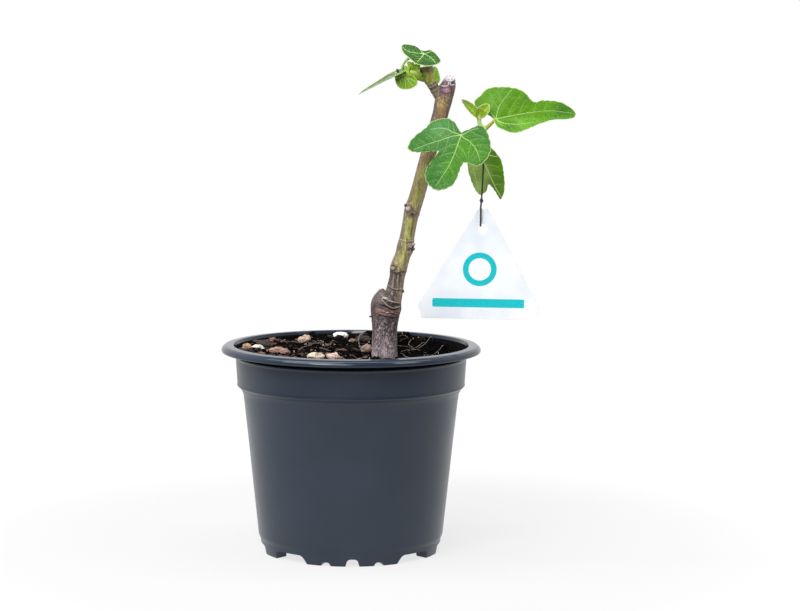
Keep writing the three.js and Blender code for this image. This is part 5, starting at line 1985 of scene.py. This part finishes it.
class StudioSettings(bpy.types.PropertyGroup):
    floor: colour_property("Floor", "Colour of the floor", (0.13, 0.13, 0.13))
    floor_glow: bpy.props.FloatProperty(
        name="Floor glow", description="The floor's own light", default=0.89, min=0, max=2)
    surround: bpy.props.FloatProperty(
        name="Surround", description="Brightness of the pale surroundings", default=0.9, min=0)
    front_light: share_property(
        "Front", "Share of the brightness left on the viewer's side", 0.1)
    softbox_power: bpy.props.FloatProperty(
        name="Softbox power", description="Power of the main soft light", default=13, min=0,
        unit="POWER")


class FigTreeSettings(bpy.types.PropertyGroup):
    pot: bpy.props.PointerProperty(type=PotSettings, name="Pot", description="The pot")
    soil: bpy.props.PointerProperty(type=SoilSettings, name="Soil", description="The soil")
    plant: bpy.props.PointerProperty(type=PlantSettings, name="Plant", description="The plant")
    label: bpy.props.PointerProperty(type=LabelSettings, name="Label", description="The label")
    studio: bpy.props.PointerProperty(type=StudioSettings, name="Studio", description="The stage")


class FIG_OT_pot(bpy.types.Operator):
    """Build the nursery pot"""

    bl_idname = "fig.pot"
    bl_label = "Pot"

    def execute(self, context):
        build_pot(context.scene.fig_tree.pot)
        return {"FINISHED"}


class FIG_OT_soil(bpy.types.Operator):
    """Build the peat with its crumbs, fibres and specks"""

    bl_idname = "fig.soil"
    bl_label = "Soil"

    def execute(self, context):
        build_soil(context.scene.fig_tree.soil)
        return {"FINISHED"}


class FIG_OT_chips(bpy.types.Operator):
    """Build the stones and bark chips on the soil"""

    bl_idname = "fig.chips"
    bl_label = "Stones and chips"

    def execute(self, context):
        build_chips()
        return {"FINISHED"}


class FIG_OT_trunk(bpy.types.Operator):
    """Build the trunk with its bark"""

    bl_idname = "fig.trunk"
    bl_label = "Trunk"

    def execute(self, context):
        build_trunk(context.scene.fig_tree.plant)
        return {"FINISHED"}


class FIG_OT_boughs(bpy.types.Operator):
    """Build the boughs with their bark"""

    bl_idname = "fig.boughs"
    bl_label = "Boughs"

    def execute(self, context):
        build_boughs(context.scene.fig_tree.plant)
        return {"FINISHED"}


class FIG_OT_leaves(bpy.types.Operator):
    """Build the leaves, stalks and buds"""

    bl_idname = "fig.leaves"
    bl_label = "Leaves"

    def execute(self, context):
        build_leaves(context.scene.fig_tree.plant)
        return {"FINISHED"}


class FIG_OT_label(bpy.types.Operator):
    """Build the label and its print"""

    bl_idname = "fig.label"
    bl_label = "Label"

    def execute(self, context):
        build_label(context.scene.fig_tree.label)
        return {"FINISHED"}


class FIG_OT_thread(bpy.types.Operator):
    """Build the label's thread"""

    bl_idname = "fig.thread"
    bl_label = "Thread"

    def execute(self, context):
        build_thread()
        return {"FINISHED"}


class FIG_OT_stage(bpy.types.Operator):
    """Build the floor, the lights and the camera"""

    bl_idname = "fig.stage"
    bl_label = "Stage"

    def execute(self, context):
        build_stage(context.scene.fig_tree.studio)
        return {"FINISHED"}


PIECES = (FIG_OT_pot, FIG_OT_soil, FIG_OT_chips, FIG_OT_trunk, FIG_OT_boughs, FIG_OT_leaves,
          FIG_OT_label, FIG_OT_thread, FIG_OT_stage)


class FIG_PT_panel(bpy.types.Panel):
    """Lists the pieces of the fig tree and their settings"""

    bl_idname = "FIG_PT_panel"
    bl_label = "Fig Tree"
    bl_space_type = "VIEW_3D"
    bl_region_type = "UI"
    bl_category = "Fig Tree"

    def draw(self, context):
        settings = context.scene.fig_tree
        for group in (settings.pot, settings.soil, settings.plant, settings.label,
                      settings.studio):
            box = self.layout.box()
            for name in group.__annotations__:
                box.prop(group, name)
        for piece in PIECES:
            self.layout.operator(piece.bl_idname)


CLASSES = (PotSettings, SoilSettings, PlantSettings, LabelSettings, StudioSettings,
           FigTreeSettings, *PIECES, FIG_PT_panel)


def register():
    """Registers the classes and the settings."""
    for each in CLASSES:
        bpy.utils.register_class(each)
    bpy.types.Scene.fig_tree = bpy.props.PointerProperty(
        type=FigTreeSettings, name="Fig tree", description="Settings of the fig tree")


def unregister():
    """Removes the settings and the classes."""
    del bpy.types.Scene.fig_tree
    for each in reversed(CLASSES):
        bpy.utils.unregister_class(each)


def main():
    """Builds every piece in order."""
    register()
    for piece in PIECES:
        group, action = piece.bl_idname.split(".")
        getattr(getattr(bpy.ops, group), action)()
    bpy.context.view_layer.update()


if __name__ == "__main__":
    main()
